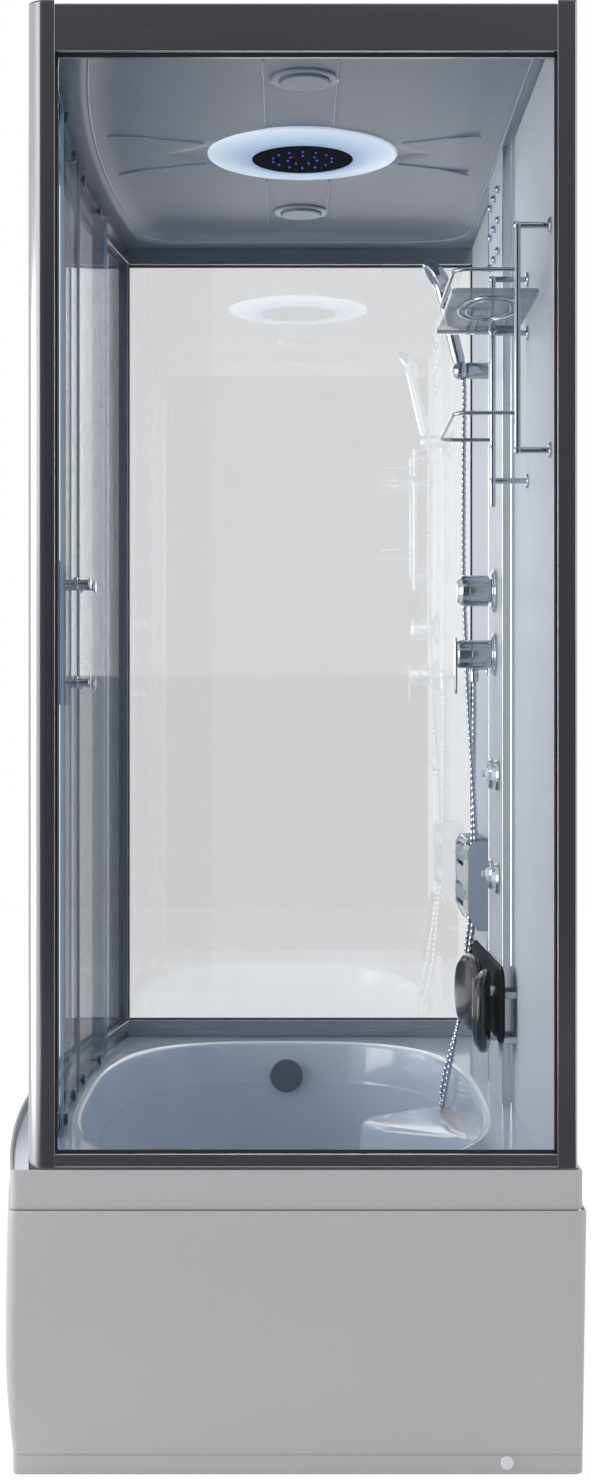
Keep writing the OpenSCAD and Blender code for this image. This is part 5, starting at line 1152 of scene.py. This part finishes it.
class CABIN_OT_jets(bpy.types.Operator):
    """Rings of the body jets and their swivelling balls"""
    bl_idname = "cabin.jets"
    bl_label = "Body jets"

    def execute(self, context):
        c = chrome()
        soft = finish("Jet nozzle", (188, 196, 208), 0.2, coat=0.3)
        bezel = rounded([(14.3, -14), (16.7, -14), (16.7, 0.2), (28.5, 0.2), (28.5, 3.5), (25.5, 8), (19, 8),
                         (14.6, 4), (14.3, 2)], [0, 0, 0, 0.4, 1, 2, 1.6, 1, 0.3], 4)
        t = np.linspace(-math.pi / 2, math.pi / 2 - 0.44, 20)
        ball = np.stack([14 * np.cos(t), 14 * np.sin(t)], 1)
        nose = rounded([tuple(ball[-1]), (6, 13.6), (6, 18), (5, 19), (3, 19), (3, 8), (0, 8)],
                       [0, 0.6, 0.8, 0.5, 0.4, 0, 0], 3, closed=False)
        nozzle = np.concatenate([ball, nose[1:]])
        rings = []
        for k, (x, z) in enumerate(JET_PLACES, 1):
            at = (x, COLUMN_Y, z)
            housing = turned([(0, -27), (6, -27), (6, -17), (16.7, -17), (16.7, -13.9), (0, -13.9)],
                             [0, 0, 0, 0.5, 0, 0], at, OUT_OF_WALL, 56)
            rings += [(lathe(bezel, at, OUT_OF_WALL, 88, True), c), (housing, c)]
            turned_ball = lathe(nozzle, (x, COLUMN_Y - 1, z), OUT_OF_WALL, 72)
            piece(f"jet_ball_{k}", [(turned_ball, soft)], f"jet_{k}", [f"jet_nozzle_{k}"])
        piece("jet_bezels", rings, "cabin", ["jet_rings"])
        return {"FINISHED"}


def bend(points, radius, steps=10):
    """A path with its corners rounded, in the plane of its two sides at each corner."""
    p = np.array(points, float)
    out = [p[:1]]
    for k in range(1, len(p) - 1):
        a, b = unit(p[k - 1] - p[k]), unit(p[k + 1] - p[k])
        half = math.acos(np.clip(a @ b, -1, 1)) / 2
        t = radius / math.tan(half)
        c = p[k] + unit(a + b) * radius / math.sin(half)
        s, e = p[k] + a * t - c, p[k] + b * t - c
        w = np.linspace(0, 1, steps + 1)[:, None]
        turn = math.acos(np.clip(unit(s) @ unit(e), -1, 1))
        out.append(c + (np.sin((1 - w) * turn) * s + np.sin(w * turn) * e) / math.sin(turn))
    return np.concatenate(out + [p[-1:]])


BAR_PLACES = [(652, 358), (352, 350)]


class CABIN_OT_shelf(bpy.types.Operator):
    """Shelf rack of two bars with wire rails, and its clear moulded plate"""
    bl_idname = "cabin.shelf"
    bl_label = "Shelf"

    def execute(self, context):
        c = chrome()
        (ax, ay), (bx, by) = BAR_PLACES
        base = turned([(0, 0.3), (12, 0.3), (12, 2.2), (9, 4.3), (0, 4.3)], [0, 0.3, 1, 1.5, 0], segs=56,
                      axis=OUT_OF_WALL)
        knot = turned([(0, -6.2), (5.6, -4), (6.2, 0), (5.6, 4), (0, 6.2)], [0, 2, 3, 2, 0])
        bars = [(ax, ay, 1500, 1845, (1504, 1841)), (bx, by, 1450, 1827, (1493, 1735, 1823))]
        wires = []
        for x, y, z0, z1, stops in bars:
            wires.append(rod((x, y, z0), (x, y, z1), 5, 32, 1.5))
            for z in stops:
                wires += [rod((x, y, z), (x, WALL_Y - 2, z), 4.6, 28, 0.3), placed(base, (x, WALL_Y, z)),
                          placed(knot, (x, y, z))]
        for z in (1560, 1775):
            wires.append(tube(bend([(ax, ay, z), (ax, 264, z), (bx, 264, z), (bx, by, z)], 22), 3))
        wires.append(turned([(0, 1734.7), (8, 1734.7), (9, 1736), (9, 1740.7), (0, 1740.7)],
                            [0, 0.6, 1, 0.4, 0], (bx, by, 0), segs=48))
        wires.append(rod((628, ay, 1735.7), (ax, ay, 1735.7), 5, 28, 1))
        piece("shelf_wire", [(p, c) for p in wires], "cabin", ["shelf_rack"])
        clear = glass_finish("Shelf glass", (128, 146, 160), 0.3, rise=0.5)
        deep = glass_finish("Shelf edge glass", (66, 84, 98), 0.72, rise=0.25)
        outline = rounded([(308, 261), (643, 261), (643, 393), (308, 393)], 12, 8)
        band = block((307.4, 260.4, 1740.4), (341, 393.6, 1749.6), 1.6, 11)
        slab = piece("shelf_glass", [(plate(outline, 1741, 1749, 1.2, 3), clear), (band, deep)], "cabin",
                     ["shelf_plate"])
        punch(slab, [rod((bx, by, 1735), (bx, by, 1755), 5.4, 40)])
        # Chrome rings under the plate at the edges of its moulded dish: a painted highlight for the light
        # that the clear dish's edges catch.
        t = np.linspace(0, 2 * math.pi, 73)[:-1]
        rim_highlights = []
        for half_x, half_y, z, r in ((92, 46, 1739.6, 2.2), (74, 34, 1738.4, 1.4)):
            loop = np.stack([530 + half_x * np.cos(t), 326 + half_y * np.sin(t), np.full(72, z)], 1)
            side = unit(np.stack([half_y * np.cos(t), half_x * np.sin(t), 0 * t], 1))
            rim_highlights.append((ring_tube(loop, side, r, t[::6]), c))
        piece("shelf_dish_rim_highlight", rim_highlights, "cabin")
        return {"FINISHED"}


ROLLER_LOW = 758.44
ROLLER_HIGH = 837.4
ROLLER_Y = 376
ROLLER_LENGTH = 159
BEADS = 7


class CABIN_OT_massager(bpy.types.Operator):
    """Massager housing with its two roller windows, and the beaded rollers"""
    bl_idname = "cabin.massager"
    bl_label = "Massager"

    def execute(self, context):
        s = context.scene.cabin_comfort
        skin = finish("Massager skin", as_tone(s.massager), 0.2, coat=0.5, drift=0.04)
        roll = finish("Roller plastic", (120, 134, 150), 0.22, coat=0.4)
        side = rounded([(407.7, 703), (407.7, 871), (368, 871), (360, 855), (360, 735), (376, 703)],
                       [1, 2, 5, 6, 14, 6], 6)[::-1]
        rings = np.array([1.6, 0.5, 0, 0, 0.5, 1.6])
        xs = np.array([-529, -528.5, -527, -220, -218.5, -218])
        n = unit(np.roll(side, -1, 0) - np.roll(side, 1, 0))
        out = np.stack([n[:, 1], -n[:, 0]], 1)
        p = side[None] - out[None] * rings[:, None, None]
        rows = np.concatenate([np.broadcast_to(xs[:, None, None], p.shape[:2] + (1,)), p], -1)
        box = piece("massager_case", [(capped(rows), skin)], "cabin",
                    ["massager_housing"])
        cuts = [block((-525, 364, 735), (-342, 403.7, 855), 3, 3),
                block((-338, 363.5, 702), (-230, 409, 872), 2, 2),
                block((-525, 374, 850), (-342, 403.7, 867), 1, 1)]
        for z in (ROLLER_LOW, ROLLER_HIGH):
            cuts.append(block((-514, 355, z - 22), (-353, 380, z + 22), 4, 6, axis=1))
        punch(box, cuts)
        box.data.set_sharp_from_angle(angle=math.radians(35))
        h = np.linspace(0, ROLLER_LENGTH, 113)
        beads = np.stack([20 - 4 * np.cos(math.pi * h / ROLLER_LENGTH * BEADS) ** 2, h], 1)
        profile = np.concatenate([[[0, 0]], beads, [[0, ROLLER_LENGTH]]])
        for name, z in (("upper", ROLLER_HIGH), ("lower", ROLLER_LOW)):
            roller = lathe(profile, (-513, ROLLER_Y, z), (1, 0, 0), 72)
            shaft = rod((-526, ROLLER_Y, z), (-341, ROLLER_Y, z), 4)
            piece("roller_" + name, [(roller, roll), (shaft, chrome())], "massage_roller_" + name,
                  ["massage_roller_" + name])
        return {"FINISHED"}


PAD_HALF_HEIGHT = 72
PAD_DEPTH = 28
PAD_TURN = 10
# Rim of a pad, from its crown round to its back: share of its half width, share of its depth
PAD_RIM = [(0.86, 0.69), (0.905, 0.64), (0.94, 0.585), (0.967, 0.52), (0.985, 0.45), (0.996, 0.38),
           (1.0, 0.3), (0.998, 0.22), (0.985, 0.14), (0.962, 0.07), (0.93, 0.02), (0.87, 0), (0.7, 0),
           (0.35, 0), (0, 0)]


def cushion(half_width):
    """A moulded pad: a soft crown, a full rim and a flat back, over a rounded square."""
    a = np.linspace(0, 2 * math.pi, 96, endpoint=False)
    crown = np.linspace(0, 1, 26)[:-1] * 0.86
    rim = np.array(PAD_RIM)
    t = np.concatenate([crown, rim[:, 0]])
    depth = np.concatenate([0.45 + 0.55 * np.sqrt(np.maximum(1 - (crown / 1.02) ** 2.6, 0)), rim[:, 1]])
    power = 2.4
    radius = 1 / (np.abs(np.cos(a)) ** power + np.abs(np.sin(a)) ** power) ** (1 / power)
    x = t[:, None] * radius * np.cos(a) * half_width
    z = t[:, None] * radius * np.sin(a) * PAD_HALF_HEIGHT
    y = np.broadcast_to(-depth[:, None] * PAD_DEPTH, x.shape)
    return grid(np.stack([x, y, z], -1), wrap_v=True)


class CABIN_OT_backrest(bpy.types.Operator):
    """Back plate with its spacers, and the two moulded pads"""
    bl_idname = "cabin.backrest"
    bl_label = "Back pads"

    def execute(self, context):
        s = context.scene.cabin_comfort
        black = finish("Base plastic", (8, 9, 11), 0.55, grain=0.05, spec=0.1)
        pale = finish("Spacer plastic", as_tone(context.scene.cabin_service.panel), 0.4)
        outline = rounded([(-367, 544), (196, 544), (196, 673), (-367, 673)], 33.75, 12)
        parts = [(wall_part(plate(outline, 0, 7.7, 2.2, 4), 0, 386.7, 0), black)]
        stud_zs = (551.5, 628.5)
        for x in (-150, 120):
            parts += [(rod((x, 380, z), (x, 367, z), 9, 40, 1), chrome()) for z in stud_zs]
        for x in (-351, 180):
            parts += [(rod((x, 386, z), (x, 407.6, z), 6, 40, 1), pale) for z in stud_zs]
        piece("backrest_plate", parts, "cabin", ["backrest_base"])
        skin = finish("Pad skin", as_tone(s.pad), 0.22, coat=0.3, drift=0.05, drift_scale=12.0, grain=0.03,
                      grain_scale=350.0)
        for name, x, y, half_width in (("left", -146, 365, 81), ("right", 120, 366, 77)):
            turn = -math.copysign(math.radians(PAD_TURN), x)
            part = placed(cushion(half_width), (x, y, 594), (math.cos(turn), math.sin(turn), 0),
                          (-math.sin(turn), math.cos(turn), 0))
            pad = piece("back_pad_" + name + "_cushion", [(part, skin)], "cabin",
                        ["back_pad_" + name], sharp=70, weighted=False)
        return {"FINISHED"}


HOLDER_TILT = math.radians(14)
HEAD_LEAN = math.radians(57)
NECK = 183


def in_holder(part):
    """A part whose own height runs up the grip of the hand shower."""
    side, up = math.sin(HOLDER_TILT), math.cos(HOLDER_TILT)
    return placed(part, HOLDER, (1, 0, 0), (0, up, side), (0, -side, up))


def half_ball(radius, t):
    """Radius and height of a ball's surface at angles above its middle."""
    return np.stack([radius * np.cos(t), radius * np.sin(t)], 1)


class CABIN_OT_hand_shower(bpy.types.Operator):
    """Hand shower, its ball holder and the wall outlet of its hose"""
    bl_idname = "cabin.hand_shower"
    bl_label = "Hand shower"

    def execute(self, context):
        c = chrome()
        arm = turned([(0, 0.3), (24, 0.3), (24, 3.4), (20, 6), (15.5, 7), (15.5, 50), (14.5, 56), (0, 56)],
                     [0, 0.4, 1.2, 2, 2, 3, 2, 0], (HOLDER[0], WALL_Y, HOLDER[2]), OUT_OF_WALL, 80)
        ball = np.concatenate([[(9.5, -14.4)], half_ball(17, np.linspace(-1.02, 0.93, 26)),
                               [(9.5, 13.5), (9.5, -14.4)]])
        piece("ball_holder", [(arm, c), (in_holder(lathe(ball)), c)], "cabin", ["handset_holder"])
        nut = in_holder(turned([(0, -13.5), (7.6, -13.5), (9, -12.4), (9, 12.9), (0, 12.9)],
                               [0, 0.6, 0.6, 0.3, 0], segs=48))
        grip = in_holder(turned([(0, 13.8), (10, 13.8), (11, 15), (12.5, 23), (12.6, 60), (11.2, 110),
                                 (9.8, 155), (9.4, 182), (0, 186)],
                                [0, 0.6, 1, 10, 40, 60, 60, 6, 0], steps=8))
        face_dir = np.array([0, -math.sin(HEAD_LEAN), -math.cos(HEAD_LEAN)])
        centre = np.array(HOLDER) + NECK * np.array([0, -math.sin(HOLDER_TILT), math.cos(HOLDER_TILT)])
        head = turned([(0, -15), (17.5, -15), (31, -10.5), (39.5, -2.5), (39.5, 8.5), (36.5, 11), (33, 11),
                       (32, 10), (0, 10)], [0, 6, 8, 4, 1.6, 1.2, 0.6, 0.6, 0], centre, face_dir, 96, 6)
        rubber = finish("Spray face", (70, 82, 100), 0.4, grain=0.2)
        face = turned([(0, 9.9), (31.6, 9.9), (31, 10.7), (0, 10.7)], [0, 0, 0.4, 0], centre, face_dir)
        parts = [(nut, c), (grip, c), (head, c), (face, rubber)]
        u, v, w = basis(face_dir)
        for n, r in ((6, 9), (12, 17), (18, 25)):
            for k in range(n):
                a = 2 * math.pi * k / n
                at = centre + r * (math.cos(a) * u + math.sin(a) * v) + 10.6 * w
                tip = turned([(0, 0), (1.5, 0), (1, 1.2), (0, 1.3)], [0, 0, 0.3, 0], at, face_dir, 12, 1)
                parts.append((tip, rubber))
        piece("hand_shower", parts, "handset", ["handset"])
        x, y, z = OUTLET_X, 379, OUTLET_Z
        elbow = [turned([(0, 0.3), (22, 0.3), (22, 3), (18, 5.3), (0, 5.3)], [0, 0.3, 1.2, 2, 0],
                        (x, WALL_Y, z), OUT_OF_WALL),
                 rod((x, 413, z), (x, 380, z), 10.4, 56),
                 lathe(half_ball(12, np.linspace(-math.pi / 2, math.pi / 2, 25)), (x, y, z), segs=56),
                 turned([(0, 1178), (6, 1178), (8.5, 1179.2), (8.5, 1199), (9.5, 1203), (0, 1203)],
                        [0, 0.5, 0.8, 1, 1, 0], (x, y, 0), segs=48)]
        piece("hose_elbow", [(p, c) for p in elbow], "cabin", ["hose_outlet"])
        return {"FINISHED"}


def roof_ring(inset, corner):
    """The roof's outline drawn in by an inset, with a corner radius of its own."""
    return bowed_outline(INSIDE_X - inset, ROOF_R - inset, POST_BACK - inset, corner, 60, 12, 30, 60)


# Rows of the roof's underside: inset, corner radius, share of the rise to the ceiling
ROOF_ROWS = [(0, 4, 0), (28, 60, 0), (33, 84, 0), (38, 86, 0.1), (50, 88, 0.35), (68, 90, 0.58),
             (86, 92, 0.78), (104, 94, 0.88), (120, 96, 0.94), (140, 98, 0.985), (160, 100, 1.0)]
ROOF_R = 4998.7
ROOF_WALL = 3
RELIEF = 2.4
SPRAY_R = 90
HOLE_STEP = 13.5
LAMP_X = 437


def roof_skin():
    """Underside of the roof with its shallow relief around a raised band, and the skin above it."""
    rings = [level(roof_ring(i, c), ROOF_Z + q * (CEILING_Z - ROOF_Z)) for i, c, q in ROOF_ROWS]
    centre = np.array([0.0, CEILING_Y, CEILING_Z])
    rings += [rings[-1] * (1 - k) + centre * k for k in np.linspace(0.04, 1, 25)]
    under = np.array(rings)
    top = under + [0, 0, ROOF_WALL]
    x, y = under[..., 0], under[..., 1]
    rise = np.clip((under[..., 2] - ROOF_Z - 10) / 5, 0, 1)
    band = 1 / (1 + np.exp((np.abs(y - 34) - 59 - np.maximum(150 - np.abs(x), 0) * 1.1) / 4))
    under[..., 2] -= rise * RELIEF * (1 - band) * (np.hypot(x, y - CEILING_Y) > 100)
    return under, top


def fold_parts():
    """Raised folds of the ceiling, and the bead around its edge."""
    z = CEILING_Z - RELIEF
    folds = [tube([(69, -135, z), (105, -232, z), (128, -300, z - 4)], 2.2, segs=12),
             tube([(69, 217, z), (100, 292, z), (128, 350, z - 5)], 2.2, segs=12)]
    folds += [tube([(x, y, z + 0.4) for x in (190, 300, 420, 540)], 1.8, segs=12) for y in (-25, 93)]
    loop = level(roof_ring(46, 84), ROOF_Z + 4.4)
    side = np.roll(loop, -1, 0) - np.roll(loop, 1, 0)
    side = unit(np.column_stack([side[:, 1], -side[:, 0], 0 * side[:, 0]]))
    bead = ring_tube(loop, side, 2.4, np.linspace(0, 2 * math.pi, 13)[:-1])
    return [p for f in folds for p in both(f)] + [bead]


def spray_parts():
    """Spray plate with six rings of tips, some of them lit blue."""
    dark = finish("Spray plate", (3, 3, 5), 0.8, spec=0.0)
    blue = finish("Blue light", (60, 80, 240), 0.4, glow=1.2)
    plain = finish("Spray tip", (16, 18, 26), 0.6, spec=0.1)
    t = np.linspace(0, 1, 40)
    disc = np.concatenate([[(0, 2115.6), (90.7, 2115.6), (90.7, 2113)],
                           np.stack([SPRAY_R * (1 - t), 2112.3 + 1.2 * t], 1)])
    parts = [(lathe(disc, (0, CEILING_Y, 0), segs=120), dark)]
    for k in range(1, 7):
        n, r = 7 * k, HOLE_STEP * k
        for j in range(n):
            a = 2 * math.pi * (j + 0.5 * (k % 2)) / n
            at = (r * math.cos(a), CEILING_Y + r * math.sin(a), 2113.6 - 1.2 * r / SPRAY_R + 0.2)
            tip = turned([(0, 0), (2, 0), (1.3, -1.5), (0, -1.7)], [0, 0, 0.4, 0], at, (0, 0, 1), 10, 1)
            parts.append((tip, blue if k in (2, 4) and j % 2 == 0 else plain))
    return parts


class CABIN_OT_roof(bpy.types.Operator):
    """Moulded roof with its relief, the rain head with its lit ring, and the two lamps"""
    bl_idname = "cabin.roof"
    bl_label = "Roof and light"

    def execute(self, context):
        s = context.scene.cabin_roof
        skin = finish("Ceiling plastic", as_tone(s.ceiling), 0.3, drift=0.01)
        under, top = roof_skin()
        sheets = [(grid(p, wrap_v=True), skin) for p in (under, np.concatenate([under[:1], top]))]
        shell = piece("roof_moulding", sheets, "cabin", ["roof_shell"], sharp=50,
                      weighted=False)
        punch(shell, [rod((0, CEILING_Y, 2100), (0, CEILING_Y, 2140), 10.3, 48),
                      rod((52, 422, 2100), (52, 422, 2125), 8.3, 48)])
        # Folds and edge bead: the ceiling's moulding in a lighter colour, a painted highlight along the edges
        # that catch light.
        fold_highlight = finish("Ceiling fold", as_tone(s.fold_highlight), 0.25, drift=0.01)
        piece("roof_folds", [(p, fold_highlight) for p in fold_parts()], "cabin", weighted=False)
        at = (0, CEILING_Y, 0)
        grey = finish("Head body", (150, 154, 162), 0.25)
        body = rounded([(7, 2115.7), (90.7, 2115.7), (90.7, 2125.7), (10, 2125.7), (10, 2132.2), (7, 2132.2)],
                       [0, 0.6, 0.6, 0, 0.5, 0], 3)
        piece("rain_head_body", [(lathe(body, at, segs=96, ring=True), grey)], "cabin",
              ["rain_head"])
        ring = rounded([(91, 2125.6), (171, 2125.6), (171, 2121.7), (168, 2119.5), (150, 2116.6),
                        (120, 2113.2), (96, 2112.2), (91, 2113)], [0, 0.5, 1.5, 4, 30, 30, 3, 0.5], 6)
        piece("lit_ring", [(lathe(ring, at, segs=160, ring=True), ring_finish(s))], "cabin",
              ["led_ring"])
        piece("spray_disc", spray_parts(), "cabin", ["spray_plate"])
        rim = finish("Lamp rim", (112, 124, 140), 0.25, coat=0.3)
        lens = finish("Lamp lens", (92, 104, 120), 0.3, coat=0.3)
        lamps = []
        for x in (-LAMP_X, LAMP_X):
            at = (x, CEILING_Y, CEILING_Z)
            bezel = turned([(0, 0.3), (56, 0.3), (56, 2.6), (52, 4.3), (42.6, 4.3), (41.8, 3.4), (0, 3.4)],
                           [0, 0.3, 1, 2, 0.6, 0.4, 0], at, (0, 0, -1), 96)
            cover = turned([(0, 3.4), (40.8, 3.4), (40.8, 6.4), (38, 8.3), (0, 8.3)], [0, 0.3, 1, 3, 0],
                           at, (0, 0, -1), 96)
            lamps += [(bezel, rim), (cover, lens)]
        piece("lamp_set", lamps, "cabin", ["ceiling_lamps"])
        return {"FINISHED"}


def ring_finish(s):
    """Lit plastic: white at the rim, paler blue toward the spray plate, by distance from the ring's axis."""
    m = bpy.data.materials.new("Lit ring")
    m.use_nodes = True
    nodes, links = m.node_tree.nodes, m.node_tree.links
    b = nodes["Principled BSDF"]
    place = nodes.new("ShaderNodeTexCoord")
    shift = nodes.new("ShaderNodeMapping")
    far = nodes.new("ShaderNodeVectorMath")
    shift.inputs["Location"].default_value = (0, -CEILING_Y * MM, 0)
    shift.inputs["Scale"].default_value = (1, 1, 0)
    far.operation = "LENGTH"
    ramp = nodes.new("ShaderNodeValToRGB")
    spread = nodes.new("ShaderNodeMapRange")
    spread.inputs["From Min"].default_value = 0.09
    spread.inputs["From Max"].default_value = 0.171
    links.new(place.outputs["Object"], shift.inputs["Vector"])
    links.new(shift.outputs["Vector"], far.inputs[0])
    links.new(far.outputs["Value"], spread.inputs["Value"])
    links.new(spread.outputs["Result"], ramp.inputs["Fac"])
    ramp.color_ramp.elements[0].color = tone(120, 152, 192)
    ramp.color_ramp.elements[1].color = tone(*as_tone(s.ring))
    ramp.color_ramp.elements.new(0.45).color = tone(178, 204, 230)
    links.new(ramp.outputs["Color"], b.inputs["Base Color"])
    links.new(ramp.outputs["Color"], b.inputs["Emission Color"])
    b.inputs["Emission Strength"].default_value = s.glow
    b.inputs["Roughness"].default_value = 0.25
    return m


# Soft lamps: name, place, width, height, share of the lamp setting, lengths in metres
LAMPS = [("doors", (0.9, -3.8, 1.2), 2.6, 2.4, 1.4), ("side", (3.4, 2.6, 2.4), 2.2, 2.2, 0.15),
         ("camera_side", (3.0, -3.4, 2.6), 2.0, 2.0, 0.1), ("far_end", (-3.4, 0.0, 2.4), 2.4, 2.4, 0.5),
         ("top", (0, 0, 4.4), 2.4, 2.4, 0.05)]
LAMP_AIM = (0, 0, 1.1)

# Boards for the metal: name, place, width, height, shade, direction that it faces
CARDS = [("card_camera_side", (5.0, 0.0, 1.3), 7.0, 6.4, (88, 88, 91), (1, 0, 0)),
         ("card_middle", (4.97, 0.0, 1.4), 1.4, 3.0, (34, 34, 36), (1, 0, 0)),
         ("card_floor", (3.1, 0.0, 0.002), 4.4, 3.6, (92, 92, 95), (0, 0, 1)),
         ("card_far_side", (-5.0, -1.5, 1.6), 2.4, 4.0, (60, 66, 78), (1, 0, 0))]


def add_floor(scene):
    """Pale floor, 18 m square, just under the bath's feet."""
    x = np.linspace(-9000, 9000, 37)[:, None]
    y = np.array([-9000, 9000])[None]
    points, faces = grid(np.stack(np.broadcast_arrays(x, y, -0.4), -1))
    mesh = bpy.data.meshes.new("floor")
    mesh.from_pydata((points * MM).tolist(), [], face_list(faces))
    floor = bpy.data.objects.new("floor", mesh)
    scene.collection.objects.link(floor)
    mesh.materials.append(floor_finish())


def add_world(scene):
    """White for what is seen and softer white for the light that falls on the object."""
    world = bpy.data.worlds.new("Studio")
    scene.world = world
    world.use_nodes = True
    nodes, links = world.node_tree.nodes, world.node_tree.links
    nodes.clear()
    out = nodes.new("ShaderNodeOutputWorld")
    seen = nodes.new("ShaderNodeBackground")
    fill = nodes.new("ShaderNodeBackground")
    seen.inputs["Color"].default_value = (1, 1, 1, 1)
    fill.inputs["Color"].default_value = tone(240, 242, 245)
    fill.inputs["Strength"].default_value = 0.95
    mix = nodes.new("ShaderNodeMixShader")
    links.new(seen_rays(nodes, links), mix.inputs[0])
    links.new(fill.outputs[0], mix.inputs[1])
    links.new(seen.outputs[0], mix.inputs[2])
    links.new(mix.outputs[0], out.inputs["Surface"])


def add_lamps(scene, power, inner):
    """Soft lamps around the cabin, and the light under its lit ring, which nothing mirrors."""
    for name, at, wide, high, share_of_power in LAMPS:
        lamp = bpy.data.lights.new(name, "AREA")
        lamp.energy = power * share_of_power
        lamp.shape = "RECTANGLE"
        lamp.size = wide
        lamp.size_y = high
        o = bpy.data.objects.new(name, lamp)
        o.location = at
        aim = Vector(tuple(np.array(LAMP_AIM) - np.array(at)))
        o.rotation_euler = aim.to_track_quat("-Z", "Y").to_euler()
        o.visible_camera = False
        scene.collection.objects.link(o)
    inside = bpy.data.lights.new("cabin_light", "AREA")
    inside.energy = inner
    inside.shape = "DISK"
    inside.size = 0.34
    inside.color = tone(236, 243, 255)[:3]
    o = bpy.data.objects.new("cabin_light", inside)
    o.location = (0, CEILING_Y * MM, 2.098)
    o.visible_camera = False
    o.visible_glossy = False
    scene.collection.objects.link(o)


def add_camera(scene, lens):
    """The camera of the photograph: level, along the cabin, a little off its middle."""
    data = bpy.data.cameras.new("camera")
    data.lens = lens
    data.sensor_width = 36
    data.shift_x = 0.0058
    data.shift_y = -0.0074
    data.clip_end = 60
    camera = bpy.data.objects.new("camera", data)
    camera.location = (3.840, 0.013, 1.0865)
    camera.rotation_euler = (math.pi / 2, 0, math.pi / 2)
    scene.collection.objects.link(camera)
    scene.camera = camera
    scene.view_settings.view_transform = "Standard"


class CABIN_OT_stage(bpy.types.Operator):
    """Pale floor and backdrop, soft lamps and the camera"""
    bl_idname = "cabin.stage"
    bl_label = "Stage"

    def execute(self, context):
        s = context.scene.cabin_stage
        add_floor(context.scene)
        add_world(context.scene)
        add_lamps(context.scene, s.lamp, s.inner)
        for board in CARDS:
            card(*board)
        add_camera(context.scene, s.lens)
        return {"FINISHED"}


def floor_finish():
    """Pale floor that the camera, gloss and glass see as white, with the shadow kept."""
    m = bpy.data.materials.new("Studio floor")
    m.use_nodes = True
    nodes, links = m.node_tree.nodes, m.node_tree.links
    b = nodes["Principled BSDF"]
    b.inputs["Roughness"].default_value = 0.9
    b.inputs["Specular IOR Level"].default_value = 0.0
    b.inputs["Emission Color"].default_value = (1, 1, 1, 1)
    shown = seen_rays(nodes, links)
    glow = nodes.new("ShaderNodeMath")
    glow.operation = "MULTIPLY"
    glow.inputs[1].default_value = 0.94
    links.new(shown, glow.inputs[0])
    links.new(glow.outputs[0], b.inputs["Emission Strength"])
    mix = nodes.new("ShaderNodeMix")
    mix.data_type = "RGBA"
    mix.inputs[6].default_value = tone(250, 250, 250)
    mix.inputs[7].default_value = tone(90, 90, 90)
    links.new(shown, mix.inputs[0])
    links.new(mix.outputs[2], b.inputs["Base Color"])
    return m


def seen_rays(nodes, links):
    """1 for the camera, for gloss and for what is seen through glass, and 0 for the light on the object."""
    path = nodes.new("ShaderNodeLightPath")
    value = path.outputs["Is Camera Ray"]
    for other in ("Is Glossy Ray", "Is Transmission Ray"):
        larger = nodes.new("ShaderNodeMath")
        larger.operation = "MAXIMUM"
        links.new(value, larger.inputs[0])
        links.new(path.outputs[other], larger.inputs[1])
        value = larger.outputs[0]
    return value


def card(name, at, wide, high, shade, facing):
    """Grey board that only gloss sees, darker than the white around it, which gives metal its contrast."""
    mesh = bpy.data.meshes.new(name)
    u, v = basis(facing)[:2]
    corners = [np.array(at) + a * wide / 2 * u + b * high / 2 * v
               for a, b in ((-1, -1), (1, -1), (1, 1), (-1, 1))]
    mesh.from_pydata([tuple(c) for c in corners], [], [(0, 1, 2, 3)])
    o = bpy.data.objects.new(name, mesh)
    bpy.context.scene.collection.objects.link(o)
    m = bpy.data.materials.new(name)
    m.use_nodes = True
    b = m.node_tree.nodes["Principled BSDF"]
    b.inputs["Base Color"].default_value = (0, 0, 0, 1)
    b.inputs["Specular IOR Level"].default_value = 0.0
    b.inputs["Emission Color"].default_value = tone(*shade)
    b.inputs["Emission Strength"].default_value = 1.0
    mesh.materials.append(m)
    o.visible_camera = False
    o.visible_diffuse = False
    o.visible_shadow = False


class CABIN_PT_panel(bpy.types.Panel):
    """Lists the cabin's pieces"""
    bl_idname = "CABIN_PT_panel"
    bl_label = "Shower cabin"
    bl_space_type = "VIEW_3D"
    bl_region_type = "UI"
    bl_category = "Cabin"

    def draw(self, context):
        for group in GROUPS:
            settings = getattr(context.scene, group)
            for name in settings.__annotations__:
                self.layout.prop(settings, name)
        for op in OPERATORS:
            self.layout.operator(op.bl_idname)


OPERATORS = [CABIN_OT_stage, CABIN_OT_hose, CABIN_OT_bath, CABIN_OT_aprons, CABIN_OT_drain,
             CABIN_OT_frame, CABIN_OT_panes, CABIN_OT_doors, CABIN_OT_back_wall, CABIN_OT_mixer,
             CABIN_OT_jets, CABIN_OT_shelf, CABIN_OT_massager, CABIN_OT_backrest, CABIN_OT_hand_shower,
             CABIN_OT_roof]
GROUPS = {"cabin_bath": BathSettings, "cabin_frame": FrameSettings, "cabin_service": ServiceSettings,
          "cabin_comfort": ComfortSettings, "cabin_roof": RoofSettings, "cabin_stage": StageSettings}


def register():
    for cls in list(GROUPS.values()) + OPERATORS + [CABIN_PT_panel]:
        bpy.utils.register_class(cls)
    for name, cls in GROUPS.items():
        setattr(bpy.types.Scene, name, PointerProperty(type=cls))


def unregister():
    for name in GROUPS:
        delattr(bpy.types.Scene, name)
    for cls in [CABIN_PT_panel] + OPERATORS[::-1] + list(GROUPS.values())[::-1]:
        bpy.utils.unregister_class(cls)


def main():
    register()
    for op in OPERATORS:
        getattr(bpy.ops.cabin, op.bl_idname.split(".")[1])()


if __name__ == "__main__":
    main()
